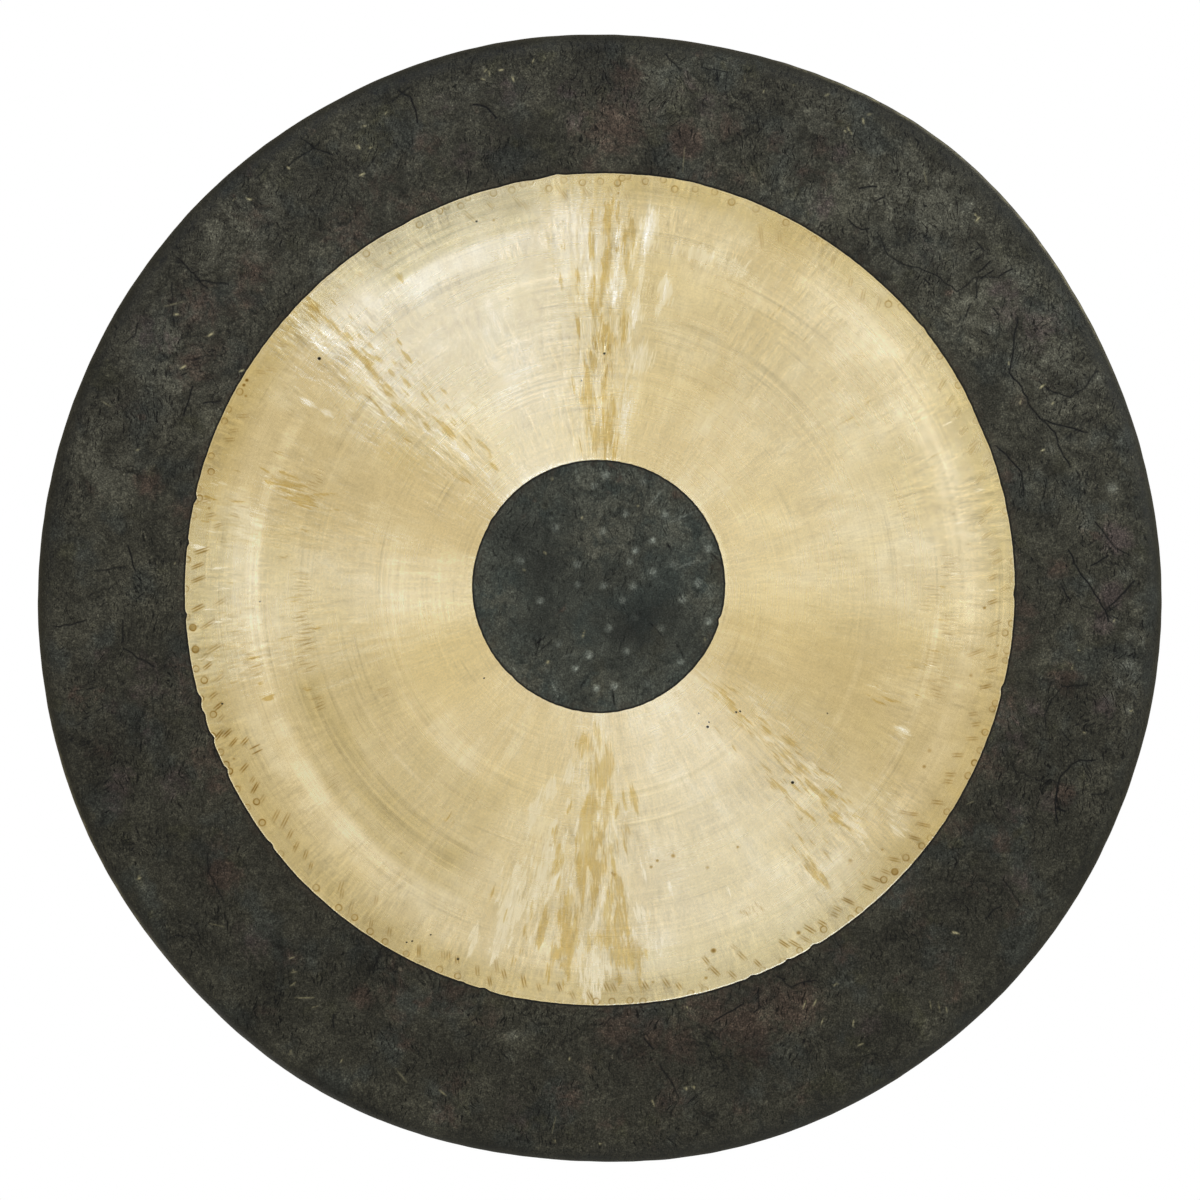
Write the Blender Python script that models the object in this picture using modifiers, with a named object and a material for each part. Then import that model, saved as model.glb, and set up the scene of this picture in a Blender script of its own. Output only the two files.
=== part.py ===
"""Chau gong, 32 inches across: one hammered bronze disc with a turned-back rim.

The gong is a single piece of bronze. Its face is a very shallow dome that
bulges to the front, its rim is turned back all round over a rounded
shoulder, and two cord holes go through the top of the rim.

Frame: metres, +Z up, the face looks along -Y. The origin is the middle of
the line between the two cord holes, in the gong's own plane of symmetry,
because the gong hangs there.
"""
import math

import bmesh
import bpy

MM = 0.001

# ---- driving dimensions ----------------------------------------------------
OUTER_DIAMETER = 812.8 * MM      # 32 inches, across the shoulder
RIM_DEPTH = 48.0 * MM            # front of the shoulder plane to the back edge
DOME_RISE = 9.0 * MM             # how far the middle stands in front of the border
SHOULDER_RADIUS = 13.0 * MM      # outside radius of the turned corner
RIM_DRAFT = 4.0 * MM             # how much the rim closes in towards its edge

BOSS_DIAMETER = 182.0 * MM       # blackened middle, left at its forged thickness
RING_DIAMETER = 599.0 * MM       # outer edge of the scraped ring
THICK_BOSS = 3.2 * MM
THICK_RING = 2.2 * MM
THICK_BORDER = 2.5 * MM
THICK_RIM = 2.8 * MM
EDGE_BEVEL = 0.5 * MM            # both corners of the rim's back edge

HOLE_DIAMETER = 9.5 * MM         # cord hole, drilled through the rim
HOLE_ANGLE = math.radians(11.5)  # each side of the top
HOLE_FROM_EDGE = 21.0 * MM       # hole's centre to the rim's back edge

TURN_STEPS = 96                  # facets round the disc
SHOULDER_STEPS = 5
HOLE_SIDES = 20

BRONZE = (0.66, 0.52, 0.27, 1.0)
BRONZE_ROUGHNESS = 0.42

R_OUT = OUTER_DIAMETER / 2.0
R_FACE = R_OUT - SHOULDER_RADIUS          # where the face ends and the shoulder starts
Z_FACE = RIM_DEPTH                        # height of the border above the back edge
HOLE_Z = HOLE_FROM_EDGE


def smooth_step(a, b, x):
    t = min(1.0, max(0.0, (x - a) / (b - a)))
    return t * t * (3.0 - 2.0 * t)


def face_height(r):
    """Front surface of the face, measured from the plane of the back edge."""
    u = min(1.0, r / R_FACE)
    return Z_FACE + DOME_RISE * (1.0 - u * u) ** 1.15


def thickness(r):
    """Forged thickness: heavy in the middle, thinnest in the scraped ring."""
    t = THICK_BOSS + (THICK_RING - THICK_BOSS) * smooth_step(0.45 * BOSS_DIAMETER, 0.75 * BOSS_DIAMETER, r)
    t += (THICK_BORDER - THICK_RING) * smooth_step(0.46 * RING_DIAMETER, 0.52 * RING_DIAMETER, r)
    return t


def rim_radius(z):
    """Outside radius of the rim, which closes in a little towards the back."""
    return R_OUT - RIM_DRAFT * (1.0 - z / (Z_FACE - SHOULDER_RADIUS)) ** 2


def profile():
    """Half section, from the front's middle, out, over the rim and back in."""
    face_r = [0.0] + [f * R_FACE for f in (0.21, 0.34, 0.50, 0.65, 0.76, 0.88)] + [R_FACE]
    outside = [(r, face_height(r)) for r in face_r]
    for k in range(1, SHOULDER_STEPS + 1):
        a = math.pi / 2.0 * (1.0 - k / SHOULDER_STEPS)
        outside.append((R_FACE + SHOULDER_RADIUS * math.cos(a),
                        Z_FACE - SHOULDER_RADIUS * (1.0 - math.sin(a))))
    for z in (0.62 * (Z_FACE - SHOULDER_RADIUS), 0.30 * (Z_FACE - SHOULDER_RADIUS), EDGE_BEVEL):
        outside.append((rim_radius(z), z))
    edge_r = rim_radius(0.0)
    edge = [(edge_r - EDGE_BEVEL, 0.0), (edge_r - THICK_RIM + EDGE_BEVEL, 0.0)]
    inside = []
    for z in (EDGE_BEVEL, 0.30 * (Z_FACE - SHOULDER_RADIUS), 0.62 * (Z_FACE - SHOULDER_RADIUS)):
        inside.append((rim_radius(z) - THICK_RIM, z))
    inner_radius = SHOULDER_RADIUS - THICK_RIM
    for k in range(0, SHOULDER_STEPS + 1):
        a = math.pi / 2.0 * k / SHOULDER_STEPS
        drop = THICK_RIM + (THICK_BORDER - THICK_RIM) * k / SHOULDER_STEPS
        inside.append((R_FACE + inner_radius * math.cos(a),
                       Z_FACE - SHOULDER_RADIUS + (SHOULDER_RADIUS - drop) * math.sin(a)))
    for r in reversed(face_r[:-1]):
        inside.append((r, face_height(r) - thickness(r)))
    return outside + edge + inside


def bronze_material():
    mat = bpy.data.materials.new("hammered_bronze")
    mat.use_nodes = True
    bsdf = mat.node_tree.nodes["Principled BSDF"]
    bsdf.inputs["Base Color"].default_value = BRONZE
    bsdf.inputs["Roughness"].default_value = BRONZE_ROUGHNESS
    bsdf.inputs["Metallic"].default_value = 1.0
    return mat


def collection(name):
    col = bpy.data.collections.new(name)
    bpy.context.scene.collection.children.link(col)
    return col


def turned(name, points, col, steps):
    """A turned solid about its own Z from a half section at +X."""
    mesh = bpy.data.meshes.new(name)
    bm = bmesh.new()
    verts = [bm.verts.new((r, 0.0, z)) for r, z in points]
    for a, b in zip(verts, verts[1:]):
        bm.edges.new((a, b))
    bm.to_mesh(mesh)
    bm.free()
    obj = bpy.data.objects.new(name, mesh)
    col.objects.link(obj)
    mod = obj.modifiers.new("turn", "SCREW")
    mod.axis = "Z"
    mod.angle = 2.0 * math.pi
    mod.steps = steps
    mod.render_steps = steps
    mod.use_merge_vertices = True
    mod.merge_threshold = 0.00001
    mod.use_smooth_shade = True
    return obj


def drill(name, angle, col):
    """A radial cutter through the rim; angle is measured from the top."""
    mesh = bpy.data.meshes.new(name)
    bm = bmesh.new()
    bmesh.ops.create_cone(bm, cap_ends=True, segments=HOLE_SIDES,
                          radius1=HOLE_DIAMETER / 2.0, radius2=HOLE_DIAMETER / 2.0,
                          depth=24.0 * MM)
    bm.to_mesh(mesh)
    bm.free()
    obj = bpy.data.objects.new(name, mesh)
    col.objects.link(obj)
    reach = rim_radius(HOLE_Z) - THICK_RIM / 2.0
    obj.location = (reach * math.sin(angle), reach * math.cos(angle), HOLE_Z)
    obj.rotation_euler = (-math.pi / 2.0, 0.0, -angle)
    obj.hide_render = True
    obj.display_type = "WIRE"
    return obj


def main():
    for obj in list(bpy.data.objects):
        bpy.data.objects.remove(obj, do_unlink=True)

    parts = collection("chau_gong")
    cutters = collection("cutters")

    # The disc is turned about its own Z and stood up by its parent, which
    # also puts the cord holes' midpoint at the origin.
    stand = bpy.data.objects.new("hanging_frame", None)
    parts.objects.link(stand)
    stand.rotation_euler = (math.pi / 2.0, 0.0, 0.0)
    hole_reach = rim_radius(HOLE_Z) - THICK_RIM / 2.0
    stand.location = (0.0, HOLE_Z, -hole_reach * math.cos(HOLE_ANGLE))

    gong = turned("gong_disc", profile(), parts, TURN_STEPS)
    gong.parent = stand
    gong.data.materials.append(bronze_material())

    for side, sign in (("right", 1.0), ("left", -1.0)):
        cutter = drill("cord_hole_" + side, sign * HOLE_ANGLE, cutters)
        cutter.parent = stand
        cut = gong.modifiers.new("cord_hole_" + side, "BOOLEAN")
        cut.operation = "DIFFERENCE"
        cut.solver = "EXACT"
        cut.object = cutter


main()
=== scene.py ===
"""Looks of the hammered bronze gong: forged relief, scraped ring, black scale, studio light."""
import math

import bpy
import numpy as np
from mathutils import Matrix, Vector


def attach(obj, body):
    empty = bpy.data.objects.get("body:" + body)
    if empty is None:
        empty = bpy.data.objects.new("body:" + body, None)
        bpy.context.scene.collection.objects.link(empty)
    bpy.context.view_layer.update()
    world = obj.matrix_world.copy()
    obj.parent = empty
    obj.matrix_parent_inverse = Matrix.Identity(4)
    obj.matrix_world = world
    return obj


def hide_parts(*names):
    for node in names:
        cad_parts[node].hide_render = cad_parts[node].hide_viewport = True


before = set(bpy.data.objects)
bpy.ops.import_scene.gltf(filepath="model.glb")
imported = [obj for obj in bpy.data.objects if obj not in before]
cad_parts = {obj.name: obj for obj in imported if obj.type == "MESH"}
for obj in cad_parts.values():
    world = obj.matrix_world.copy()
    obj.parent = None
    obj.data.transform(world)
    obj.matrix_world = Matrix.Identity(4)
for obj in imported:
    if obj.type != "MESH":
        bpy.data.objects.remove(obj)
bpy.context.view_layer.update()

# ---------------------------------------------------------------------------
# The gong's own plane, in millimetres: x to the right and z up from the
# disc's centre, w forward from the plane of the rim's back edge.
# ---------------------------------------------------------------------------
CENTRE_Z = -0.39624
BACK_EDGE_Y = 0.021
R_OUT = 406.4
RIM_DEPTH = 48.0
SHOULDER = 13.0
R_FACE = R_OUT - SHOULDER
DOME = 9.0
DRAFT = 4.0
WALL_TOP = RIM_DEPTH - SHOULDER
T_BOSS, T_RING, T_BORDER, T_RIM = 3.2, 2.2, 2.5, 2.8
SETTLE = 0.45             # the relief below stays this far inside the nominal dome

PX = 0.72044              # millimetres for one pixel of a 1200 px wide view at the rim
VIEW_DISTANCE = 3200.0    # millimetres from the eye to the shoulder's widest plane

# Centres of the three outlines, millimetres from the disc's centre.
DISC_AT = (0.0, 0.0)
RING_AT = (-0.14, 6.15)
BOSS_AT = (-0.88, 8.83)
RING_PX, BOSS_PX, DISC_PX = 415.49, 126.33, 564.30

# How far each outline is out of round: cosine and sine terms of the clock
# angle, in view pixels.
DISC_WAVES = [(0.30, 0.20), (1.88, 1.26), (-0.18, 1.01), (-1.2, 0.36), (-0.54, 0.06),
              (-0.87, -0.57), (0.26, -0.32), (-0.07, -0.65), (0.34, 0.14), (0.02, -0.27)]
RING_WAVES = [(0.0, 0.0), (0.53, 0.23), (0.19, 0.19), (-0.15, 0.25), (0.25, 0.22),
              (0.07, 0.01), (0.01, 0.08), (0.03, 0.07), (-0.06, 0.05), (-0.05, 0.07),
              (0.01, -0.04), (0.01, -0.12)]
BOSS_WAVES = [(0.0, 0.0), (0.03, 0.11), (-0.27, -0.02), (0.3, -0.2), (-0.18, 0.0),
              (-0.02, -0.04), (-0.02, 0.08), (0.06, -0.01)]


def smooth(a, b, x):
    t = np.clip((x - a) / (b - a), 0.0, 1.0)
    return t * t * (3.0 - 2.0 * t)


def waves(terms, theta):
    out = np.zeros_like(theta)
    for m, (c, s) in enumerate(terms, 1):
        out += c * np.cos(m * theta) + s * np.sin(m * theta)
    return out


def face_w(rho):
    u = np.clip(rho / R_FACE, 0.0, 1.0)
    return RIM_DEPTH + DOME * (1.0 - u * u) ** 1.15


def thickness(rho):
    t = T_BOSS + (T_RING - T_BOSS) * smooth(0.45 * 182.0, 0.75 * 182.0, rho)
    return t + (T_BORDER - T_RING) * smooth(0.46 * 599.0, 0.52 * 599.0, rho)


def rim_radius(w):
    return R_OUT - DRAFT * (1.0 - w / WALL_TOP) ** 2


def nearer(rho):
    """Size of a thing on the face that covers one unit at the shoulder's plane."""
    return 1.0 - (face_w(rho) - WALL_TOP) / VIEW_DISTANCE


def polar(angle_deg, r_px, about="ring"):
    """Clock angle and radius in view pixels to x, z on the face, in millimetres."""
    a = np.radians(np.asarray(angle_deg, float))
    cx, cz = {"ring": RING_AT, "disc": DISC_AT, "boss": BOSS_AT}[about]
    r = np.asarray(r_px, float) * PX
    x, z = cx + r * np.sin(a), cz + r * np.cos(a)
    f = nearer(np.hypot(x, z))
    return x * f, z * f


def view_px(px, py):
    """Column and row of the 1200 px view to x, z on the face, in millimetres."""
    x, z = (px - 599.96) * PX, (598.27 - py) * PX
    f = nearer(np.hypot(x, z))
    return x * f, z * f


# ---------------------------------------------------------------------------
# Gradient noise, seeded
# ---------------------------------------------------------------------------
class Noise:
    def __init__(self, seed):
        rng = np.random.default_rng(seed)
        p = rng.permutation(256)
        self.p = np.concatenate([p, p, p[:2]])
        g = rng.normal(size=(256, 3))
        self.g = g / np.linalg.norm(g, axis=1)[:, None]

    def __call__(self, x, y, z):
        xi, yi, zi = (np.floor(v).astype(np.int64) for v in (x, y, z))
        xf, yf, zf = x - xi, y - yi, z - zi
        u, v, w = (t * t * t * (t * (t * 6.0 - 15.0) + 10.0) for t in (xf, yf, zf))
        xi, yi, zi = xi & 255, yi & 255, zi & 255
        out = np.zeros_like(xf)
        for dx in (0, 1):
            for dy in (0, 1):
                for dz in (0, 1):
                    h = self.p[(self.p[(self.p[(xi + dx) & 255] + yi + dy) & 255] + zi + dz) & 255]
                    g = self.g[h]
                    dot = g[:, 0] * (xf - dx) + g[:, 1] * (yf - dy) + g[:, 2] * (zf - dz)
                    wt = (u if dx else 1.0 - u) * (v if dy else 1.0 - v) * (w if dz else 1.0 - w)
                    out += dot * wt
        return out * 1.5


FORGE = [Noise(11 + i) for i in range(8)]
rng = np.random.default_rng(2024)


def forged(x, z, w):
    """Broad unevenness of the hammered sheet, the same from front and back."""
    n = FORGE
    d = 0.34 * n[0](x / 130.0, z / 130.0, w / 130.0)
    d += 0.16 * n[1](x / 62.0, z / 62.0, w / 62.0)
    d += 0.075 * n[2](x / 33.0 + 7.1, z / 33.0, w / 33.0)
    return d


def hammered(x, z, w):
    """Small hammer facets that scraping takes off."""
    n = FORGE
    d = 0.055 * n[3](x / 17.0, z / 17.0, w / 17.0)
    d += 0.028 * n[4](x / 9.0, z / 9.0 + 3.3, w / 9.0)
    d += 0.012 * n[5](x / 4.6, z / 4.6, w / 4.6)
    return d


# ---------------------------------------------------------------------------
# Grids of cells that close on themselves, finer where tool marks are
# ---------------------------------------------------------------------------
def cell_grid(rows, cols, wrap, flags=None, k=4):
    """Vertices as (row, column), faces as lists of indices, and each face's row."""
    nr = rows if wrap else rows + 1
    base = np.arange(nr * cols).reshape(nr, cols)
    rc = np.stack(np.meshgrid(np.arange(nr, dtype=float), np.arange(cols, dtype=float),
                              indexing="ij"), -1).reshape(-1, 2)
    ii, jj = np.meshgrid(np.arange(rows), np.arange(cols), indexing="ij")
    a, b = base[ii, jj], base[ii, (jj + 1) % cols]
    c, d = base[(ii + 1) % nr, (jj + 1) % cols], base[(ii + 1) % nr, jj]
    quads = np.stack([a, b, c, d], -1).reshape(-1, 4)
    frow = ii.ravel()
    if flags is None or not flags.any():
        return rc, quads, frow, [], []
    extra, side = [], {}
    total = [len(rc)]

    def split(i, j, along):
        key = (i % nr, j % cols, along)
        if key not in side:
            start = total[0]
            for t in range(1, k):
                extra.append((i + t / k, j % cols) if along else (i, j % cols + t / k))
            side[key] = list(range(start, start + k - 1))
            total[0] += k - 1
        return side[key]

    fine, fine_row = [], []
    for i, j in zip(*np.nonzero(flags)):
        i, j = int(i), int(j)
        ids = np.zeros((k + 1, k + 1), np.int64)
        ids[0, 0], ids[0, k] = base[i, j], base[i, (j + 1) % cols]
        ids[k, 0], ids[k, k] = base[(i + 1) % nr, j], base[(i + 1) % nr, (j + 1) % cols]
        ids[0, 1:k], ids[k, 1:k] = split(i, j, 0), split(i + 1, j, 0)
        ids[1:k, 0], ids[1:k, k] = split(i, j, 1), split(i, j + 1, 1)
        for p in range(1, k):
            for q in range(1, k):
                ids[p, q] = total[0]
                total[0] += 1
                extra.append((i + p / k, j + q / k))
        fine.append(np.stack([ids[:-1, :-1], ids[:-1, 1:], ids[1:, 1:], ids[1:, :-1]], -1).reshape(-1, 4))
        fine_row += [i] * (k * k)
    keep = np.ones(rows * cols, bool)
    keep[np.nonzero(flags.ravel())[0]] = False
    touched = set()
    for (i, j, along) in side:
        if along:
            touched.add((i, j))
            touched.add((i, (j - 1) % cols))
        else:
            touched.add((i, j))
            touched.add((i - 1, j))
    ngons, nrow = [], []
    for (i, j) in sorted(touched):
        if not 0 <= i < rows or flags[i, j]:
            continue
        keep[i * cols + j] = False
        corners = [int(v) for v in (a[i, j], b[i, j], c[i, j], d[i, j])]
        poly = [corners[0]] + side.get((i, j, 0), []) + [corners[1]]
        poly += side.get((i % nr, (j + 1) % cols, 1), []) + [corners[2]]
        poly += side.get(((i + 1) % nr, j, 0), [])[::-1] + [corners[3]]
        poly += side.get((i, j, 1), [])[::-1]
        ngons.append(poly)
        nrow.append(i)
    quads = np.concatenate([quads[keep]] + fine)
    frow = np.concatenate([frow[keep], np.array(fine_row, np.int64)])
    return np.concatenate([rc, np.array(extra)]), quads, frow, ngons, nrow


def to_world(x, z, w):
    """Millimetres of the gong's own plane to metres of the row frame."""
    x = np.clip(x, -R_OUT + 0.01, R_OUT - 0.01)
    z = np.clip(z, -R_OUT + 0.01, R_OUT - 0.01)
    w = np.clip(w, 0.0, RIM_DEPTH + DOME - 0.01)
    return np.stack([x * 1e-3, BACK_EDGE_Y - w * 1e-3, CENTRE_Z + z * 1e-3], 1)


def make_piece(name, co, quads, ngons, uv_of_corner, attributes, material,
               caps=(), sharp=35.0):
    """A closed mesh from quads, cells with extra corners, and fans round a pole."""
    loops = [np.asarray(quads).ravel()]
    sizes = [np.full(len(quads), 4)]
    if len(caps):
        loops.append(np.asarray(caps).ravel())
        sizes.append(np.full(len(caps), 3))
    if ngons:
        loops.append(np.array([v for p in ngons for v in p]))
        sizes.append(np.array([len(p) for p in ngons]))
    li, lt = np.concatenate(loops), np.concatenate(sizes)
    ls = np.concatenate([[0], np.cumsum(lt)[:-1]])
    mesh = bpy.data.meshes.new(name)
    mesh.vertices.add(len(co))
    mesh.vertices.foreach_set("co", co.astype(np.float32).ravel())
    mesh.loops.add(len(li))
    mesh.loops.foreach_set("vertex_index", li.astype(np.int32))
    mesh.polygons.add(len(lt))
    mesh.polygons.foreach_set("loop_start", ls.astype(np.int32))
    mesh.polygons.foreach_set("use_smooth", np.ones(len(lt), bool))
    mesh.update(calc_edges=True)
    if mesh.validate(verbose=False):
        print("mesh", name, "needed repair")
    for key, values in attributes.items():
        att = mesh.attributes.new(key, "FLOAT", "POINT")
        att.data.foreach_set("value", values.astype(np.float32))
    if uv_of_corner is not None:
        layer = mesh.uv_layers.new(name="OFBake")
        layer.uv.foreach_set("vector", uv_of_corner(li, lt).astype(np.float32).ravel())
    mesh.set_sharp_from_angle(angle=math.radians(sharp))
    mesh.materials.append(material)
    obj = bpy.data.objects.new(name, mesh)
    bpy.context.scene.collection.objects.link(obj)
    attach(obj, "root")
    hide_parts("gong_disc")
    return obj


# ---------------------------------------------------------------------------
# Outlines
# ---------------------------------------------------------------------------
RING_NICKS = [(51.2, 0.9, 0.5), (66.0, -1.0, 2.5), (90.5, -1.2, 0.7), (103.8, -1.9, 0.6), (149.0, -2.0, 0.5),
              (153.1, -1.6, 0.4), (158.5, -1.6, 0.4), (196.1, -1.7, 0.5), (199.3, -1.0, 0.4), (193.0, 1.0, 2.0),
              (232.2, -1.8, 0.5), (244.3, -1.9, 0.5), (249.1, -2.2, 0.5), (252.4, -1.5, 0.5), (254.7, -2.2, 0.6),
              (266.5, -1.6, 0.4), (276.5, -1.7, 0.4), (282.7, -1.9, 0.5), (353.9, 1.5, 0.9), (351.0, -0.7, 1.0),
              (12.0, 0.8, 4.0), (336.0, -0.6, 1.2), (331.5, -0.7, 1.5), (346.0, -0.6, 1.0)]
EDGE_WAVE = Noise(71)


def ring_edge(theta):
    """Outer outline of the scraped ring: cut by hand along the black border."""
    r = RING_PX + waves(RING_WAVES, theta)
    deg = np.degrees(theta) % 360.0
    for at, depth, wide in RING_NICKS:
        off = (deg - at + 180.0) % 360.0 - 180.0
        r = r + depth * np.exp(-(off / wide) ** 2)
    r = r + 0.40 * EDGE_WAVE(38.0 * np.sin(theta), 38.0 * np.cos(theta), 0.0 * theta)
    r = r + 0.22 * EDGE_WAVE(110.0 * np.sin(theta), 110.0 * np.cos(theta), 5.0 + 0.0 * theta)
    x, z = RING_AT[0] + r * PX * np.sin(theta), RING_AT[1] + r * PX * np.cos(theta)
    f = nearer(np.hypot(x, z))
    return x * f, z * f


def boss_edge(theta):
    """Outline of the black middle."""
    r = BOSS_PX + waves(BOSS_WAVES, theta)
    deg = np.degrees(theta) % 360.0
    for at, depth, wide in ((105.5, -1.6, 1.6), (62.0, -0.5, 3.0), (224.0, -0.6, 2.5), (301.0, 0.5, 2.0)):
        off = (deg - at + 180.0) % 360.0 - 180.0
        r = r + depth * np.exp(-(off / wide) ** 2)
    r = r + 0.35 * EDGE_WAVE(22.0 * np.sin(theta), 22.0 * np.cos(theta), 9.0 + 0.0 * theta)
    x, z = BOSS_AT[0] + r * PX * np.sin(theta), BOSS_AT[1] + r * PX * np.cos(theta)
    f = nearer(np.hypot(x, z))
    return x * f, z * f


def oval(theta):
    """The rim's radius over its nominal one."""
    r = (DISC_PX + waves(DISC_WAVES, theta)) * PX
    r = r + 0.22 * EDGE_WAVE(30.0 * np.sin(theta), 30.0 * np.cos(theta), 2.0 + 0.0 * theta)
    limit = (R_OUT - 0.05) / np.maximum(np.abs(np.sin(theta)), np.abs(np.cos(theta)))
    return np.minimum(r, limit) / R_OUT


def stretch(rho, theta):
    return 1.0 + (oval(theta) - 1.0) * smooth(296.0, R_OUT, rho)


def face_edge(theta):
    s = 1.0 + (oval(theta) - 1.0) * smooth(296.0, R_OUT, np.array([R_FACE]))
    return R_FACE * s * np.sin(theta), R_FACE * s * np.cos(theta)


def mid_circle(theta, rho=243.5):
    x, z = RING_AT[0] + rho * np.sin(theta), RING_AT[1] + rho * np.cos(theta)
    return x, z


# ---------------------------------------------------------------------------
# Tool marks and blemishes. Angles are clock degrees, radii view pixels.
# ---------------------------------------------------------------------------
PUNCHES = [(0.1, 408.2, .35), (2.5, 407.1, .6), (3.1, 412.2, .5), (3.9, 414.4, .35), (6.4, 410.9, .4), (8.8, 414.9, .4),
           (10.6, 407.5, .5), (13.4, 411.8, .25), (16.1, 414.0, .3), (18.8, 409.5, .4), (22.3, 411.6, .2), (26.9, 411.8, .35),
           (31.4, 411.1, .3), (32.9, 414.0, .25), (45.3, 406.0, .5), (46.8, 413.6, .25), (54.0, 414.2, .25), (55.5, 412.4, .45),
           (60.3, 412.9, .35), (65.8, 412.9, .2), (79.0, 413.1, .3), (86.1, 414.4, .3), (88.6, 414.4, .3), (94.7, 413.1, .45),
           (96.1, 407.6, .45), (98.5, 411.6, .3), (99.9, 411.6, .35), (106.0, 411.6, .35), (106.9, 410.4, .4), (110.3, 410.9, .4),
           (112.9, 412.7, .3), (114.8, 412.9, .7), (116.8, 412.7, .5), (122.6, 412.2, .35), (126.9, 413.6, .35), (128.5, 411.5, .55),
           (131.2, 406.9, .6), (133.7, 408.2, 1.), (135.6, 406.0, .9), (141.0, 412.5, .5), (142.6, 413.6, .4), (146.6, 406.9, .75),
           (151.0, 412.5, .6), (153.8, 414.4, .3), (156.8, 413.8, .25), (165.3, 413.8, .4), (167.3, 413.8, .4), (174.0, 413.8, .6),
           (175.8, 412.0, .6), (178.3, 412.0, .5), (180.5, 411.8, .7), (192.6, 415.0, .3), (200.2, 411.8, .5), (202.9, 412.2, .35),
           (205.4, 414.0, .25), (208.0, 412.5, .4), (211.4, 412.2, .45), (213.9, 411.8, .6), (216.8, 409.3, .6), (219.4, 411.5, .5),
           (223.6, 411.5, .45), (230.4, 414.2, .3), (235.4, 410.2, .85), (238.3, 403.5, .9), (238.3, 414.2, .4), (241.2, 414.2, .4),
           (243.9, 412.4, .9), (244.9, 412.7, .6), (246.8, 412.7, .55), (249.3, 414.2, .6), (252.1, 406.1, .65), (254.7, 414.0, .5),
           (257.1, 405.8, .75), (258.9, 411.6, .6), (261.6, 408.7, 1.), (264.7, 408.7, 1.), (266.2, 414.0, .3), (270.1, 414.0, .5),
           (274.2, 413.5, .6), (280.4, 413.1, .25), (282.4, 414.4, .4), (282.9, 410.7, .55), (284.1, 414.0, .3), (286.9, 406.2, .6),
           (289.0, 410.9, .35), (294.2, 411.5, .35), (295.9, 413.1, .25), (298.8, 410.9, .4), (325.2, 409.3, .45), (328.3, 412.9, .2),
           (333.7, 407.1, .45), (337.1, 411.1, .5), (338.2, 412.5, .35), (340.1, 408.2, .4), (341.4, 413.5, .3), (345.0, 410.7, .4),
           (347.6, 409.3, .4), (349.3, 412.9, .3), (350.4, 413.8, .25), (352.8, 404.4, .45), (355.0, 411.1, .2), (357.6, 407.5, .45)]

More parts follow.
